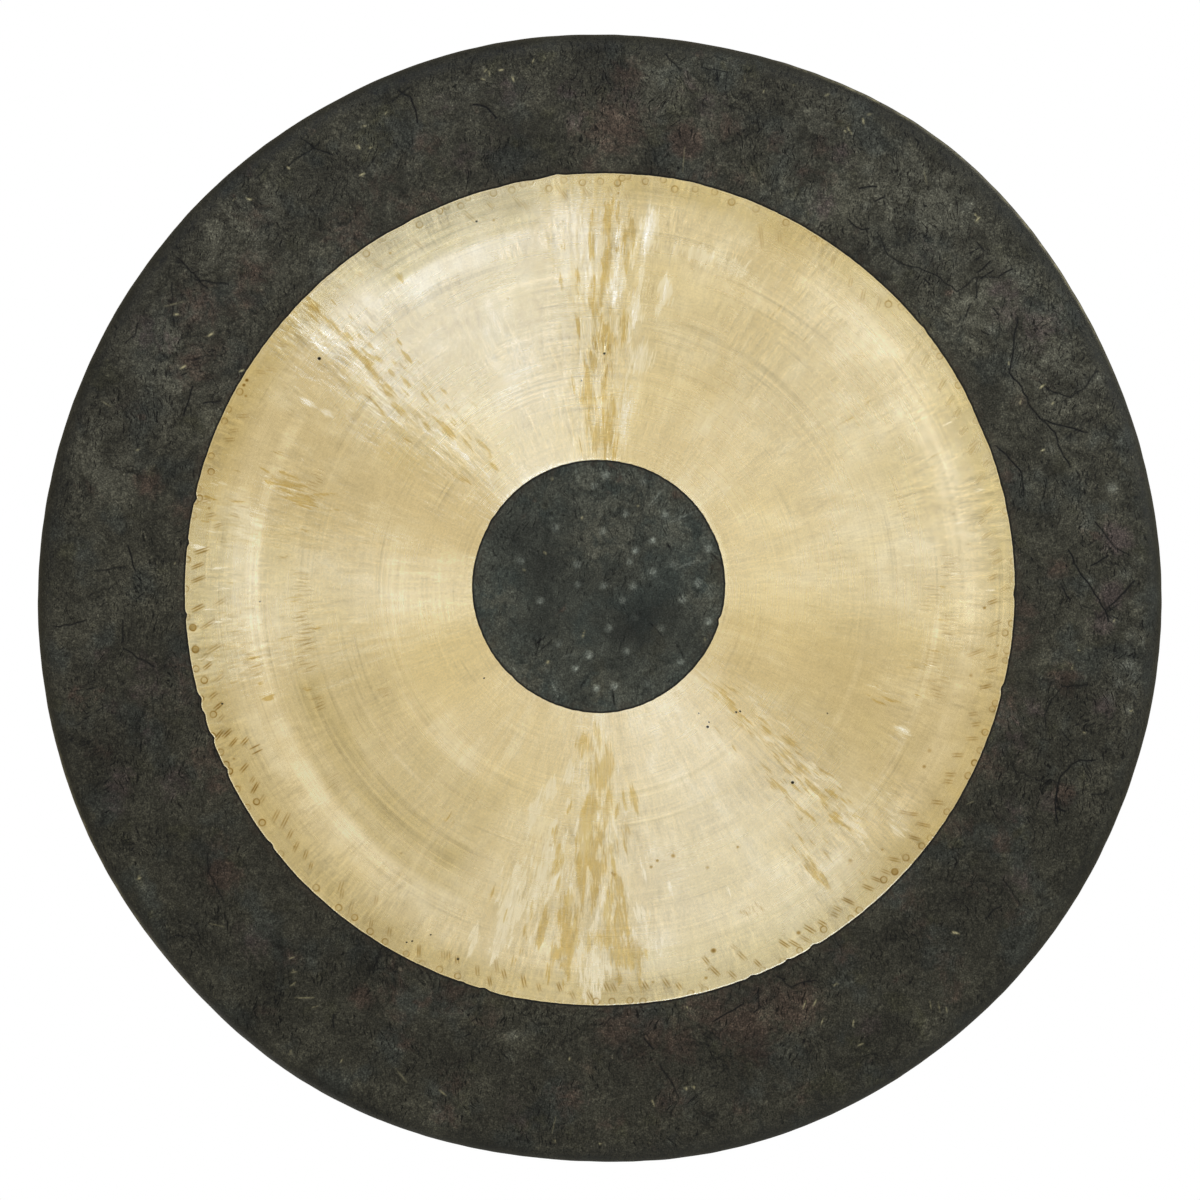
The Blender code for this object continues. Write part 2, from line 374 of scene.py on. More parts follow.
# Angle, radius, darkness, length in pixels of the pairs of short chisel lines.
CHISELS = [(1.4, 400.4, .2, 10), (4.0, 395, .2, 10), (24.6, 388.5, .22, 24), (27.1, 394.9, .2, 12), (32.8, 407.6, .15, 8),
           (35.3, 403.5, .25, 10), (39.2, 396.9, .25, 9), (41.8, 395.1, .3, 14), (44.3, 399.6, .25, 11), (52.6, 399.6, .2, 10),
           (53.0, 388.7, .2, 16), (54.8, 398.7, .3, 11), (56.6, 407.8, .15, 8), (59.0, 399.3, .35, 12), (61.7, 397.5, .3, 11),
           (63.7, 398.7, .3, 7), (66.4, 396.9, .25, 9), (68.8, 400.5, .3, 12), (69.4, 397.3, .3, 9), (71.8, 407.8, .3, 8),
           (73.8, 395.3, .25, 10), (78.5, 396.2, .35, 11), (79.9, 388.0, .25, 7), (82.0, 390.7, .35, 10), (84.6, 397.1, .35, 11),
           (85.9, 398.9, .35, 11), (88.2, 393.5, .4, 11), (89.8, 405.3, .25, 9), (91.8, 392.9, .6, 10), (94.8, 398.0, .4, 11),
           (96.5, 395.3, .4, 10), (99.5, 381.6, .4, 17), (99.7, 398.9, .4, 10), (101.6, 399.8, .4, 11), (104.1, 398.0, .55, 12),
           (108.4, 393.6, .3, 9), (109.7, 399.5, .4, 8), (111.8, 400.9, .35, 12), (114.8, 394.5, .45, 10), (117.8, 396.4, .4, 10),
           (118.8, 398.2, .4, 9), (122.2, 399.1, .5, 11), (126.0, 400.0, .5, 13), (125.6, 385.5, .5, 10), (126.2, 377.3, .4, 9),
           (128.3, 400.9, .6, 11), (132.5, 399.5, .6, 12), (134.6, 401.8, .5, 10), (136.3, 400.9, .7, 11), (138.0, 400.9, .8, 11),
           (141.4, 398.5, 1., 13), (143.3, 398.2, .6, 10), (144.1, 401.1, .5, 9), (146.3, 401.1, .8, 10), (148.3, 399.3, .9, 12),
           (149.5, 405.6, .5, 13), (151.2, 403.8, .8, 13), (152.5, 399.3, 1., 12), (157.1, 405.6, .8, 9), (158.8, 392.9, .6, 11),
           (159.4, 382.0, .3, 9), (161.0, 407.1, .6, 11), (163.2, 398.4, .9, 13), (164.0, 385.6, .7, 10), (165.6, 409.3, .3, 9),
           (168.7, 404.4, .7, 8), (170.4, 398.9, .6, 12), (173.4, 398.4, .7, 9), (175.6, 400.2, .35, 10), (178.0, 398.4, .5, 9),
           (179.0, 397.5, .6, 10), (181.4, 406.2, .6, 9), (183.8, 406.7, .35, 9), (185.8, 399.5, .7, 9), (188.7, 402.2, .4, 9),
           (191.0, 398.5, .7, 12), (194.0, 395.8, .6, 9), (195.7, 406.7, .6, 10), (195.3, 390.4, .3, 14), (197.8, 400.4, .4, 10),
           (201.1, 396.7, .6, 8), (202.5, 395.8, .4, 9), (203.2, 397.6, .3, 9), (206.6, 404.0, .6, 12), (211.6, 401.3, .35, 9),
           (214.4, 404.9, .35, 9), (215.8, 382.2, .3, 9), (218.0, 404.2, .25, 16), (220.3, 398.7, .3, 9), (221.1, 394.2, .35, 13),
           (226.3, 399.6, .5, 7), (228.0, 396.0, .45, 9), (229.8, 397.8, .45, 11), (231.7, 394.7, .5, 10), (233.7, 390.5, .5, 17),
           (235.1, 395.1, .45, 13), (238.2, 396.9, .3, 9), (240.1, 397.8, .95, 12), (241.3, 396.0, .4, 7), (243.4, 397.8, .8, 11),
           (247.4, 396.9, .8, 10), (246.9, 386.0, .8, 9), (248.9, 399.6, .9, 11), (249.1, 407.8, .9, 12), (251.3, 399.6, .3, 8),
           (253.0, 398.9, .95, 11), (254.7, 400.7, .6, 10), (256.9, 390.7, .3, 12), (259.0, 399.5, .8, 10), (260.3, 401.6, .3, 9),
           (261.3, 390.7, .45, 18), (264.9, 393.5, .5, 16), (267.4, 402.5, .9, 13), (268.1, 379.8, .35, 12), (271.5, 401.6, .8, 13),
           (273.4, 403.1, .9, 13), (275.6, 399.8, .9, 15), (280.9, 396.2, .35, 10), (279.6, 387.1, .35, 9), (282.8, 403.5, .4, 7),
           (292.1, 399.1, .3, 9), (293.5, 399.1, .2, 9), (296.0, 396.4, .25, 10), (302.7, 402.7, .2, 10), (303.8, 395.5, .15, 9),
           (307.6, 400.0, .15, 9), (319.4, 398.2, .15, 9), (322.7, 395.5, .2, 9), (325.6, 392.9, .25, 13), (332.3, 390.2, .25, 13),
           (340.8, 394.7, .3, 16), (344.1, 400.2, .3, 9), (348.1, 396.5, .25, 11), (349.0, 391.0, .25, 10), (354.1, 403.8, .25, 9),
           (354.9, 396.5, .3, 11), (358.0, 398.4, .3, 9)]

# Angle, radius, size in pixels: brown spots and black pits on the ring.
RING_SPOTS = [(92.7, 385.3, 1.6, .7), (149.9, 396.5, 2.2, .7), (162.5, 378.4, 2.6, .9), (164.7, 402.5, 1.8, .6), (328.1, 396.5, 1.6, .5),
              (103.0, 381.0, 1.8, .35), (118.6, 369.5, 2.0, .45), (132.6, 384.0, 1.6, .5), (137.2, 369.0, 2.2, .4), (164.0, 395.0, 1.2, .5),
              (344.0, 384.7, 1.4, .5), (245.2, 403.0, 1.3, .5), (229.9, 399.0, 1.4, .5), (172.3, 396.0, 1.6, .45), (116.0, 367.0, 2.2, .3),
              (299.9, 410.5, 1.7, .8), (300.7, 410.5, 1.7, .9), (298.7, 403.5, 1.4, .5), (168.0, 277.0, 1.6, .7), (169.5, 282.0, 1.4, .7),
              (151.8, 292.0, 1.5, .6), (177.5, 283.5, 1.2, .5), (40.0, 250.0, 1.2, .25), (310.0, 300.0, 1.2, .3), (217.0, 330.0, 1.3, .3),
              (138.5, 305.0, 1.3, .4), (98.0, 402.0, 1.2, .5), (281.8, 399.0, 1.6, .45), (59.5, 372.0, 1.8, .2), (2.7, 397.0, 1.2, .5),
              (164.6, 276.1, 2.3, .6), (177.1, 285.1, 2.0, .35), (190.9, 260.2, 1.6, .3), (158.8, 298.0, 2.0, .4), (342.5, 305.0, 1.3, .35)]
RING_PITS = [(309.5, 363.5, 1.7), (341.5, 388.4, 1.1), (201.0, 395.6, 1.1), (208.1, 398.4, 0.9), (208.7, 402.0, 0.8),
             (206.1, 384.2, 0.8), (131.9, 183.3, 1.0), (130.9, 185.7, 0.95), (141.8, 174.5, 1.3), (140.5, 171.7, 0.7), (118.5, 259.1, 0.7),
             (135.0, 272.7, 1.6), (1.1, 236.3, 1.15), (253.2, 394.5, 1.0), (232.6, 145.6, 0.85), (141.3, 158.4, 0.6),
             (355.0, 210.0, 0.6), (268.0, 340.0, 0.7)]

# Border: peened dimples, painted paler as a sheen where they catch the light (angle, radius, size), about the disc's
# centre.
BORDER_DIMPLES = [(55.7, 473.6, 5, .7), (60.2, 474.4, 5, .8), (71.5, 474.4, 5, .6), (74.1, 456.3, 5, .7), (66.1, 548, 7, .4), (78.3, 552.2, 6, 1.),
                  (77.8, 524.4, 6, 1.), (73.3, 546.6, 6, .5), (75.6, 548, 6, .6), (51.7, 525.8, 6, .5), (87.5, 554, 6, .8), (92.2, 550, 6, .7),
                  (94.6, 548.6, 6, .8), (92.7, 555.5, 5, .6), (100.0, 543, 5, .8), (99.8, 550, 5, .7), (101.9, 540, 5, .7), (98.1, 540, 6, .8),
                  (97.2, 533.3, 6, 1.), (99.2, 525, 6, 1.), (95.6, 529.7, 5, .7), (94.0, 533, 6, .6), (101.1, 519.4, 6, .7), (90.4, 537.4, 6, .6),
                  (87.2, 526.3, 6, .7), (87.8, 490.2, 5, .8), (104.5, 547, 6, .7), (102.6, 552.7, 5, .6), (81.6, 490, 6, .5), (92.3, 515.2, 5, .6),
                  (84.0, 548.0, 6, .5), (86.0, 540.0, 6, .45), (106.5, 538.0, 5, .4), (90.2, 551.5, 5, .6), (96.8, 556.0, 5, .5), (81.0, 541.0, 6, .4),
                  (43.0, 537.0, 8, .5), (32.0, 506.0, 7, .4), (34.3, 475.0, 5, .5), (191.3, 445.0, 6, .5), (191.2, 467.0, 5, .5), (154.0, 482.0, 5, .4),
                  (126.0, 535.0, 9, .35), (275.0, 524.0, 9, .3), (42.0, 444.0, 6, .3), (19.0, 516.0, 4, .3), (231.0, 520.0, 9, .25), (336.0, 470.0, 8, .2)]

# Border: rust-brown and purple patches (angle, radius, size in px, strength, redness).
BORDER_PATCHES = [(10.7, 465.5, 11, 1.2, 1.), (2.9, 519.7, 14, .6, .7), (3.6, 503, 12, .5, .4), (2.0, 474, 20, .8, .9), (1.3, 461, 14, .7, .9),
                  (15.0, 486, 12, .6, .9), (12.7, 508.6, 12, .5, .4), (10.0, 522, 10, .5, .3), (25.3, 472, 8, .6, .8), (28.4, 478, 8, .5, .8),
                  (29.9, 453, 12, .6, .3), (21.0, 489, 10, .5, .5), (26.0, 501.6, 12, .5, .5), (28.6, 505.8, 10, .6, .4), (14.3, 439, 12, .5, .6),
                  (18.8, 442, 12, .4, .6), (58.5, 514.7, 18, .6, .25), (52.7, 509, 12, .6, .2), (54.9, 495, 12, .6, .2), (44.5, 475.8, 14, .4, .3),
                  (73.0, 428, 10, .5, .8), (65.0, 464.7, 7, .6, .6), (83.4, 519.4, 10, 1., .15), (89.7, 511, 10, .9, .1), (93.0, 504, 9, .8, .1),
                  (102.4, 516.6, 9, .7, .3), (99.8, 470.8, 11, .7, .5), (86.2, 457, 9, .7, .7), (104.2, 446, 10, .6, .4), (108.9, 440, 16, .5, .4),
                  (113.1, 501.3, 10, .8, .6), (114.1, 491.6, 9, .7, .4), (117.3, 462.4, 12, .5, .4), (119.3, 469, 10, .5, .5), (91.7, 422, 12, .7, .9),
                  (95.6, 422, 12, .6, .9), (105.3, 421, 14, .6, .9), (113.1, 421, 12, .6, .8), (123.7, 504.4, 12, .6, .4), (127.5, 519.7, 12, .5, .8),
                  (136.9, 505.8, 16, .4, .7), (147.9, 504.4, 9, .7, .2), (154.7, 450, 20, .8, .9), (145.6, 433.6, 10, .6, .9), (135.6, 461.3, 12, .4, .7),
                  (127.5, 475, 10, .4, .6), (121.3, 469.7, 8, .7, .8), (157.0, 433, 16, .6, .9), (159.3, 450, 12, .6, .8), (157.7, 536, 12, .5, .6),
                  (134.0, 433, 12, .5, .9), (123.0, 425, 12, .5, .9), (137.9, 530.8, 10, .5, .6), (164.5, 525.8, 10, .5, .9), (161.0, 475.8, 14, .7, .9),
                  (161.6, 450.8, 18, .9, 1.), (170.7, 448, 16, .7, .9), (172.7, 439.7, 14, .7, 1.), (177.2, 428.6, 18, .7, .9), (179.5, 437, 12, .6, .9),
                  (165.2, 423, 16, .7, .9), (169.7, 459, 12, .6, .9), (172.0, 506.3, 12, .6, 1.), (178.8, 523, 9, .5, .7), (183.4, 500.8, 14, .6, .7),
                  (188.9, 525.8, 14, .5, .4), (196.7, 537, 14, .5, .5), (197.0, 506, 12, .5, .7), (181.4, 470, 10, .4, .6), (195.0, 434, 14, .5, .9),
                  (174.9, 456, 14, .5, .8), (233.9, 468, 12, 1., .8), (210.9, 463.8, 8, .9, .8), (225.3, 490, 14, .6, .3), (221.1, 476, 10, .5, .8),
                  (203.6, 484, 8, .6, .8), (208.1, 445.8, 10, .5, .9), (236.7, 451, 9, .6, .5), (208.4, 423, 12, .5, .9), (200.6, 421, 14, .6, .9),
                  (205.5, 468, 10, .5, .8), (246.5, 464, 14, .6, .2), (246.8, 526.6, 9, .6, .1), (249.1, 512.7, 11, .7, .1), (252.8, 521, 10, .5, .8),
                  (256.9, 497, 10, .5, .3), (260.1, 462.7, 20, .5, .2), (256.4, 461, 12, .4, .5), (247.5, 425, 12, .7, .9), (244.2, 425, 10, .6, .9),
                  (256.9, 425, 12, .5, .9), (253.0, 473.8, 8, .5, .3), (263.5, 503, 8, .5, .3), (261.1, 426.6, 10, .5, .8), (284.1, 466, 9, .9, .5),
                  (299.8, 467.4, 16, .6, .8), (306.0, 498, 18, .6, .7), (300.5, 525.8, 14, .5, .4), (313.1, 475.8, 14, .7, .8), (318.0, 514.7, 12, .5, .6),
                  (302.7, 459, 16, .5, .8), (309.9, 467, 16, .5, .7), (282.0, 423, 10, .6, .9), (301.1, 503.6, 10, .5, .3), (292.0, 512, 10, .4, .2),
                  (326.0, 443, 18, .6, .9), (334.3, 431.9, 16, .5, .7), (337.0, 432, 10, .5, .7), (331.7, 468, 16, .4, .7), (338.7, 486, 14, .5, .6),
                  (342.7, 459.6, 14, .5, .2), (347.9, 468, 16, .4, .4), (349.9, 515, 14, .5, .3), (356.4, 507.4, 10, .5, .2), (357.3, 477.7, 8, .6, .2),
                  (358.6, 468, 14, .5, .8), (359.0, 432, 14, .4, .8), (342.4, 518, 10, .4, .3)]

# Border: bright bare nicks (angle, radius, length, width in px, tilt from radial in degrees, brightness).
BORDER_NICKS = [(24.4, 551.6, 4, 2.4, 60, .8), (28.4, 561, 5, 1.6, 30, .8), (29.0, 556, 6, 2.2, 10, .8), (28.9, 545, 8, 2.0, 40, .9),
                (28.1, 530, 12, 2.2, 60, 1.), (27.7, 527.5, 4, 1.6, 70, .8), (10.5, 562, 4, 1.6, 90, .5), (30.8, 560, 4, 1.4, 20, .5),
                (33.8, 565.5, 5, 1.6, 90, .6), (38.6, 560, 5, 2.0, 10, .5), (37.7, 532, 20, 1.6, 50, .35), (10.8, 447, 38, 1.2, 6, .35),
                (44.5, 557.7, 4, 2.8, 80, 1.), (45.2, 559.7, 3, 1.8, 70, .9), (45.8, 561.5, 3, 1.6, 70, .9), (46.3, 562.5, 3, 1.4, 70, .8),
                (44.9, 535.5, 8, 2.0, 5, .9), (44.5, 536.5, 6, 1.6, 80, .8), (64.4, 490, 7, 2.4, 12, 1.), (66.7, 493, 4, 1.8, 30, .7),
                (71.5, 466.9, 4, 2.4, 5, .9), (60.1, 471.6, 4, 2.0, 60, .7), (65.0, 464.0, 6, 1.6, 50, .6), (133.2, 489.1, 8, 2.2, 20, 1.),
                (133.4, 486.5, 4, 2.0, 0, .8), (143.7, 558.6, 5, 2.8, 20, .9), (147.8, 553.6, 7, 3.0, 50, 1.), (149.7, 516.9, 9, 2.4, 80, .9),
                (140.3, 531, 16, 1.6, 150, .45), (140.9, 524, 12, 1.4, 150, .5), (139.9, 538, 8, 1.2, 150, .4), (149.2, 494.7, 8, 1.8, 140, .6),
                (152.3, 478, 9, 2.0, 135, .9), (152.0, 458, 10, 2.0, 125, .9), (153.3, 455, 12, 1.8, 135, .9), (158.2, 558.6, 14, 1.4, 85, .5),
                (177.2, 558.5, 9, 1.4, 90, .7), (179.0, 557.5, 6, 1.4, 90, .7), (179.9, 546, 5, 2.8, 70, 1.), (179.4, 550, 3, 1.6, 90, .7),
                (174.0, 507.7, 8, 2.2, 10, .8), (169.1, 498, 3, 2.0, 0, .9), (170.0, 498, 3, 2.4, 0, 1.), (168.0, 418.8, 4, 2.2, 0, .8),
                (184.7, 545.8, 6, 1.8, 10, .5), (185.0, 529, 26, 1.0, 172, .35), (197.6, 519.2, 11, 1.8, 65, .8), (189.2, 561, 3, 2.0, 0, .7),
                (198.6, 554.7, 4, 2.0, 0, .7), (174.8, 548, 10, 1.2, 8, .45), (165.5, 557.0, 10, 1.4, 85, .5), (214.3, 550, 7, 1.8, 10, .6),
                (223.9, 558.2, 7, 1.6, 88, .9), (217.5, 559, 5, 1.4, 88, .5), (238.7, 539.4, 4, 2.6, 0, 1.), (209.2, 529.7, 5, 1.2, 0, .5),
                (216.5, 497, 28, 1.4, 128, .6), (218.5, 493, 10, 1.4, 165, .6), (214.9, 498, 8, 1.2, 140, .5), (220.6, 473.6, 7, 1.2, 150, .5),
                (219.3, 483.0, 9, 1.2, 140, .5), (202.6, 517, 26, 1.6, 60, .4), (229.6, 504, 22, 1.0, 128, .35), (279.0, 560.8, 5, 1.4, 80, .9),
                (274.7, 426.6, 3, 1.4, 60, .5), (299.0, 476.6, 8, 3.2, 60, 1.), (304.1, 470.2, 7, 3.4, 65, 1.), (303.8, 510, 6, 3.0, 40, 1.),
                (304.6, 518, 30, 1.6, 48, .45), (318.7, 531.3, 6, 3.2, 35, 1.), (317.5, 541, 5, 1.8, 80, .5), (302.4, 424.4, 6, 3.4, 60, .9),
                (294.9, 552, 9, 1.6, 20, .45), (282.9, 552, 10, 1.6, 150, .4), (287.8, 485.5, 5, 1.4, 40, .5), (291.5, 531, 16, 1.0, 170, .4),
                (312.0, 555, 6, 2.2, 0, .4), (331.9, 511.6, 5, 3.0, 0, 1.), (333.0, 505.6, 4, 1.8, 80, .6), (333.5, 527.7, 4, 1.6, 60, .7),
                (330.7, 486, 8, 2.2, 82, .9), (336.2, 530.4, 4, 1.6, 120, .5), (324.1, 531.3, 4, 2.6, 20, .9), (344.0, 563, 5, 2.2, 70, .8),
                (348.1, 536, 9, 1.2, 8, .7), (349.4, 537.4, 6, 2.0, 85, .9), (350.5, 526.3, 7, 1.6, 12, .8), (347.3, 532, 6, 1.2, 60, .6),
                (352.9, 541.6, 6, 1.4, 150, .6), (347.8, 540, 6, 1.2, 120, .5), (15.6, 539.0, 9, 1.2, 30, .4), (17.9, 533, 5, 1.2, 10, .5),
                (20.6, 549, 5, 1.4, 60, .4), (51.9, 561.0, 6, 1.0, 88, .4), (54.6, 560.0, 8, 1.0, 88, .4), (101.5, 555.0, 5, 1.4, 30, .5),
                (102.0, 543.0, 4, 1.6, 0, .6), (92.5, 514.6, 5, 1.4, 60, .5), (105.5, 502.5, 3, 1.6, 0, .6), (96.2, 481.8, 3, 1.6, 0, .6),
                (98.3, 477.4, 7, 1.2, 80, .5), (183.8, 461.5, 4, 1.6, 0, .6), (148.7, 452.5, 5, 1.4, 100, .5), (118.9, 423.0, 12, 1.4, 50, .4)]

# Border: dark creases (points as angle, radius).
BORDER_CRACKS = [[(40.0, 448.0), (42.3, 451.3), (43.9, 459.1), (46.8, 467.4), (49.3, 470.2), (49.4, 492.4), (51.2, 511.9)],
                 [(49.7, 495.0), (51.4, 481.3)], [(37.1, 459.0), (38.6, 453.5), (40.0, 448.0)], [(33.2, 453.0), (35.4, 452.2), (36.0, 457.0)],
                 [(56.1, 503.6), (58.2, 486.9), (59.5, 478.6), (61.1, 467.4), (63.4, 471.6), (66.3, 471.6), (67.9, 475.8), (69.9, 498.0), (71.2, 514.7)],
                 [(67.9, 475.8), (69.9, 484.0), (72.1, 484.0), (74.4, 488.3)], [(65.3, 548.0), (66.6, 525.8), (66.9, 512.0), (65.6, 498.0), (63.7, 489.8)],
                 [(68.9, 424.0), (71.2, 432.5), (73.1, 439.4), (76.4, 436.0)], [(51.6, 473.5), (52.4, 461.5)], [(50.2, 512.0), (50.0, 497.0)],
                 [(51.4, 528.0), (51.1, 513.0)], [(46.6, 518.5), (47.8, 518.0)], [(49.2, 516.0), (49.2, 499.0)], [(45.4, 455.3), (46.3, 455.3)],
                 [(53.6, 489.0), (54.6, 489.0)], [(32.3, 485.0), (33.9, 496.0)], [(34.7, 483.0), (35.3, 492.0)], [(10.8, 541.0), (13.6, 541.0), (13.8, 526.0)],
                 [(11.4, 541.0), (11.9, 531.0)], [(12.5, 540.0), (12.9, 530.0)], [(6.9, 548.0), (8.7, 534.0)], [(16.2, 522.0), (16.7, 529.0)],
                 [(81.3, 501.3), (83.2, 511.0), (84.4, 518.0), (85.4, 532.0)], [(84.1, 470.8), (86.5, 479.0), (88.8, 491.6), (91.4, 505.5), (89.7, 520.8), (88.1, 534.7)],
                 [(90.7, 518.0), (92.3, 498.6)], [(91.4, 505.5), (92.6, 509.0)], [(100.0, 495.8), (100.8, 470.8), (102.7, 462.4), (104.7, 459.7), (106.6, 468.0)],
                 [(108.1, 520.8), (108.6, 506.9), (109.4, 500.0), (111.2, 493.6), (113.1, 496.3), (114.7, 501.3), (116.0, 509.7)], [(111.2, 543.0), (111.8, 529.0)],
                 [(114.7, 501.3), (114.6, 512.0)], [(83.3, 500.0), (83.8, 491.0)], [(85.2, 510.0), (86.2, 492.0)], [(106.4, 484.0), (107.0, 493.0)],
                 [(88.2, 461.0), (90.2, 470.0)], [(150.5, 439.0), (152.5, 433.6), (153.8, 433.6), (154.9, 417.0)], [(158.0, 422.0), (158.6, 439.0), (159.6, 442.0)],
                 [(124.9, 491.9), (126.0, 519.7)], [(127.5, 505.8), (128.4, 501.6), (129.7, 501.6)], [(171.0, 506.0), (171.7, 487.0), (172.7, 470.0)],
                 [(173.3, 453.6), (174.3, 442.0)], [(160.5, 430.0), (163.0, 434.0), (165.0, 438.0)], [(266.8, 558.6), (267.3, 525.0), (267.6, 514.0)],
                 [(269.9, 464.0), (270.7, 455.8)], [(270.9, 459.0), (273.2, 461.0)], [(273.4, 465.5), (276.4, 475.0)], [(261.3, 451.6), (264.0, 479.4)],
                 [(264.7, 480.0), (267.4, 478.0)], [(273.1, 505.8), (273.8, 475.3)], [(255.6, 461.0), (258.2, 458.0)], [(298.2, 539.0), (299.5, 533.9), (300.8, 538.0)],
                 [(308.3, 500.8), (308.9, 542.5)], [(296.2, 442.0), (297.5, 428.0)], [(308.2, 515.0), (310.2, 486.0)], [(327.0, 549.7), (327.6, 533.0), (328.9, 518.0)],
                 [(323.7, 533.0), (328.4, 535.0)], [(338.3, 548.0), (339.3, 536.0), (339.3, 522.0), (339.0, 509.7)], [(337.3, 538.5), (338.4, 542.0), (339.6, 545.0)],
                 [(345.6, 509.7), (347.0, 504.0), (347.8, 491.6)], [(320.5, 543.0), (322.2, 545.0)], [(331.5, 489.0), (332.8, 494.0)], [(293.8, 455.0), (297.5, 459.0)],
                 [(231.0, 484.0), (235.0, 478.0), (237.0, 468.0)], [(211.8, 505.0), (212.6, 494.0)], [(302.5, 505.0), (306.4, 532.0)]]
# Border: groups of short dark strokes (angle, radius, how many, spread deg, spread px, length px, tilt).
BORDER_STROKES = [(242.3, 530, 14, 1.3, 5, 7, 12), (246.0, 541, 8, .6, 5, 7, 15), (249.2, 533, 10, .7, 8, 14, 18), (253.3, 531, 16, 1.9, 10, 12, 8),
                  (257.0, 524, 8, .8, 9, 10, 20), (260.3, 518, 12, 1.0, 8, 12, 10), (70.5, 504, 16, 1.3, 14, 12, 28), (76.4, 503, 26, 1.6, 16, 7, 60),
                  (73.0, 528, 8, 1.0, 12, 12, 40), (12.4, 535, 12, 1.2, 7, 9, 5), (47.6, 508, 10, 1.4, 10, 9, 2), (165.4, 476, 40, 1.6, 20, 5, 70),
                  (166.5, 450, 20, 1.3, 9, 6, 50), (269.8, 499, 18, 1.2, 7, 6, 40), (305.8, 520, 10, 1.5, 8, 9, 25), (89.8, 478, 10, 1.4, 12, 12, 145),
                  (92.0, 510, 8, 1.1, 12, 14, 150), (103.8, 524, 18, 1.2, 12, 6, 50), (299.9, 468, 16, 1.6, 9, 7, 30), (309.0, 524, 12, .8, 16, 9, 30),
                  (104.9, 505, 8, .5, 8, 8, 20), (219.4, 516, 10, .6, 9, 7, 150), (155.4, 500, 12, .9, 9, 6, 140), (282.0, 543, 8, 1.5, 4, 6, 80),
                  (291.0, 542, 8, 1.6, 4, 7, 50), (352.5, 538, 8, .8, 5, 8, 30), (20.0, 520, 14, 1.0, 16, 6, 20), (197.5, 450, 8, 1.0, 12, 12, 140)]
# Boss: peened dimples, painted paler as a sheen, by column and row of the 1200 px view.
BOSS_DIMPLES = [(605, 474), (643, 481), (594, 485), (625, 513), (665, 514), (555, 527), (602, 531), (652, 540), (635, 550), (629, 561),
                (708, 548), (673, 564), (577, 564), (652, 571), (577, 584), (603, 585), (633, 586), (682, 599), (635, 617), (708, 621),
                (661, 628), (608, 628), (558, 643), (626, 651), (589, 655), (681, 661), (647, 683), (596, 688), (614, 686), (540, 600),
                (520, 560), (698, 583), (575, 668), (622, 600)]


def near_segments(x, z, ends, reach, sagging=0.0):
    """Indices near a line of points, distance to it and share of its length."""
    out = []
    for (x0, z0), (x1, z1) in zip(ends, ends[1:]):
        lo_x, hi_x = min(x0, x1) - reach, max(x0, x1) + reach
        lo_z, hi_z = min(z0, z1) - reach, max(z0, z1) + reach
        idx = np.nonzero((x > lo_x) & (x < hi_x) & (z > lo_z) & (z < hi_z))[0]
        if len(idx) == 0:
            continue
        dx, dz = x1 - x0, z1 - z0
        length2 = max(dx * dx + dz * dz, 1e-9)
        t = np.clip(((x[idx] - x0) * dx + (z[idx] - z0) * dz) / length2, 0.0, 1.0)
        dist = np.hypot(x[idx] - x0 - t * dx, z[idx] - z0 - t * dz)
        near = dist < reach
        out.append((idx[near], dist[near], t[near]))
    return out


def chisel_ends(angle, r_px, length_px, offset_mm=0.0, tilt=25.0, about="ring"):
    """Ends of a short line, tilted from the radial direction, moved sideways."""
    cx, cz = polar(angle, r_px, about)
    a = math.radians(angle)
    # Outward end leans anticlockwise, inward end clockwise.
    t = math.radians(tilt)
    ux = math.sin(a) * math.cos(t) - math.cos(a) * math.sin(t)
    uz = math.cos(a) * math.cos(t) + math.sin(a) * math.sin(t)
    half = length_px * PX / 2.0
    ox, oz = uz * offset_mm, -ux * offset_mm
    return [(float(cx + ox - ux * half), float(cz + oz - uz * half)),
            (float(cx + ox + ux * half), float(cz + oz + uz * half))]


# ---- the features in millimetres, made once -------------------------------
mark_rng = np.random.default_rng(77)
ring_punches = []
for ang, rad, dark in PUNCHES:
    px_, pz_ = polar(ang, rad)
    ring_punches.append((float(px_), float(pz_), 2.1 + 0.25 * mark_rng.random(), dark))
ring_chisels = []
for ang, rad, dark, length in CHISELS:
    lean = 22.0 + 9.0 * mark_rng.random()
    gap = 0.72 + 0.25 * mark_rng.random()
    for off in (-gap, gap):
        ring_chisels.append((chisel_ends(ang, rad, length * (0.9 + 0.2 * mark_rng.random()), off, lean), dark))
for off in (-2.0, 2.0):
    ring_chisels.append((chisel_ends(245.1, 379.0, 11, off, 2.0), 0.9))
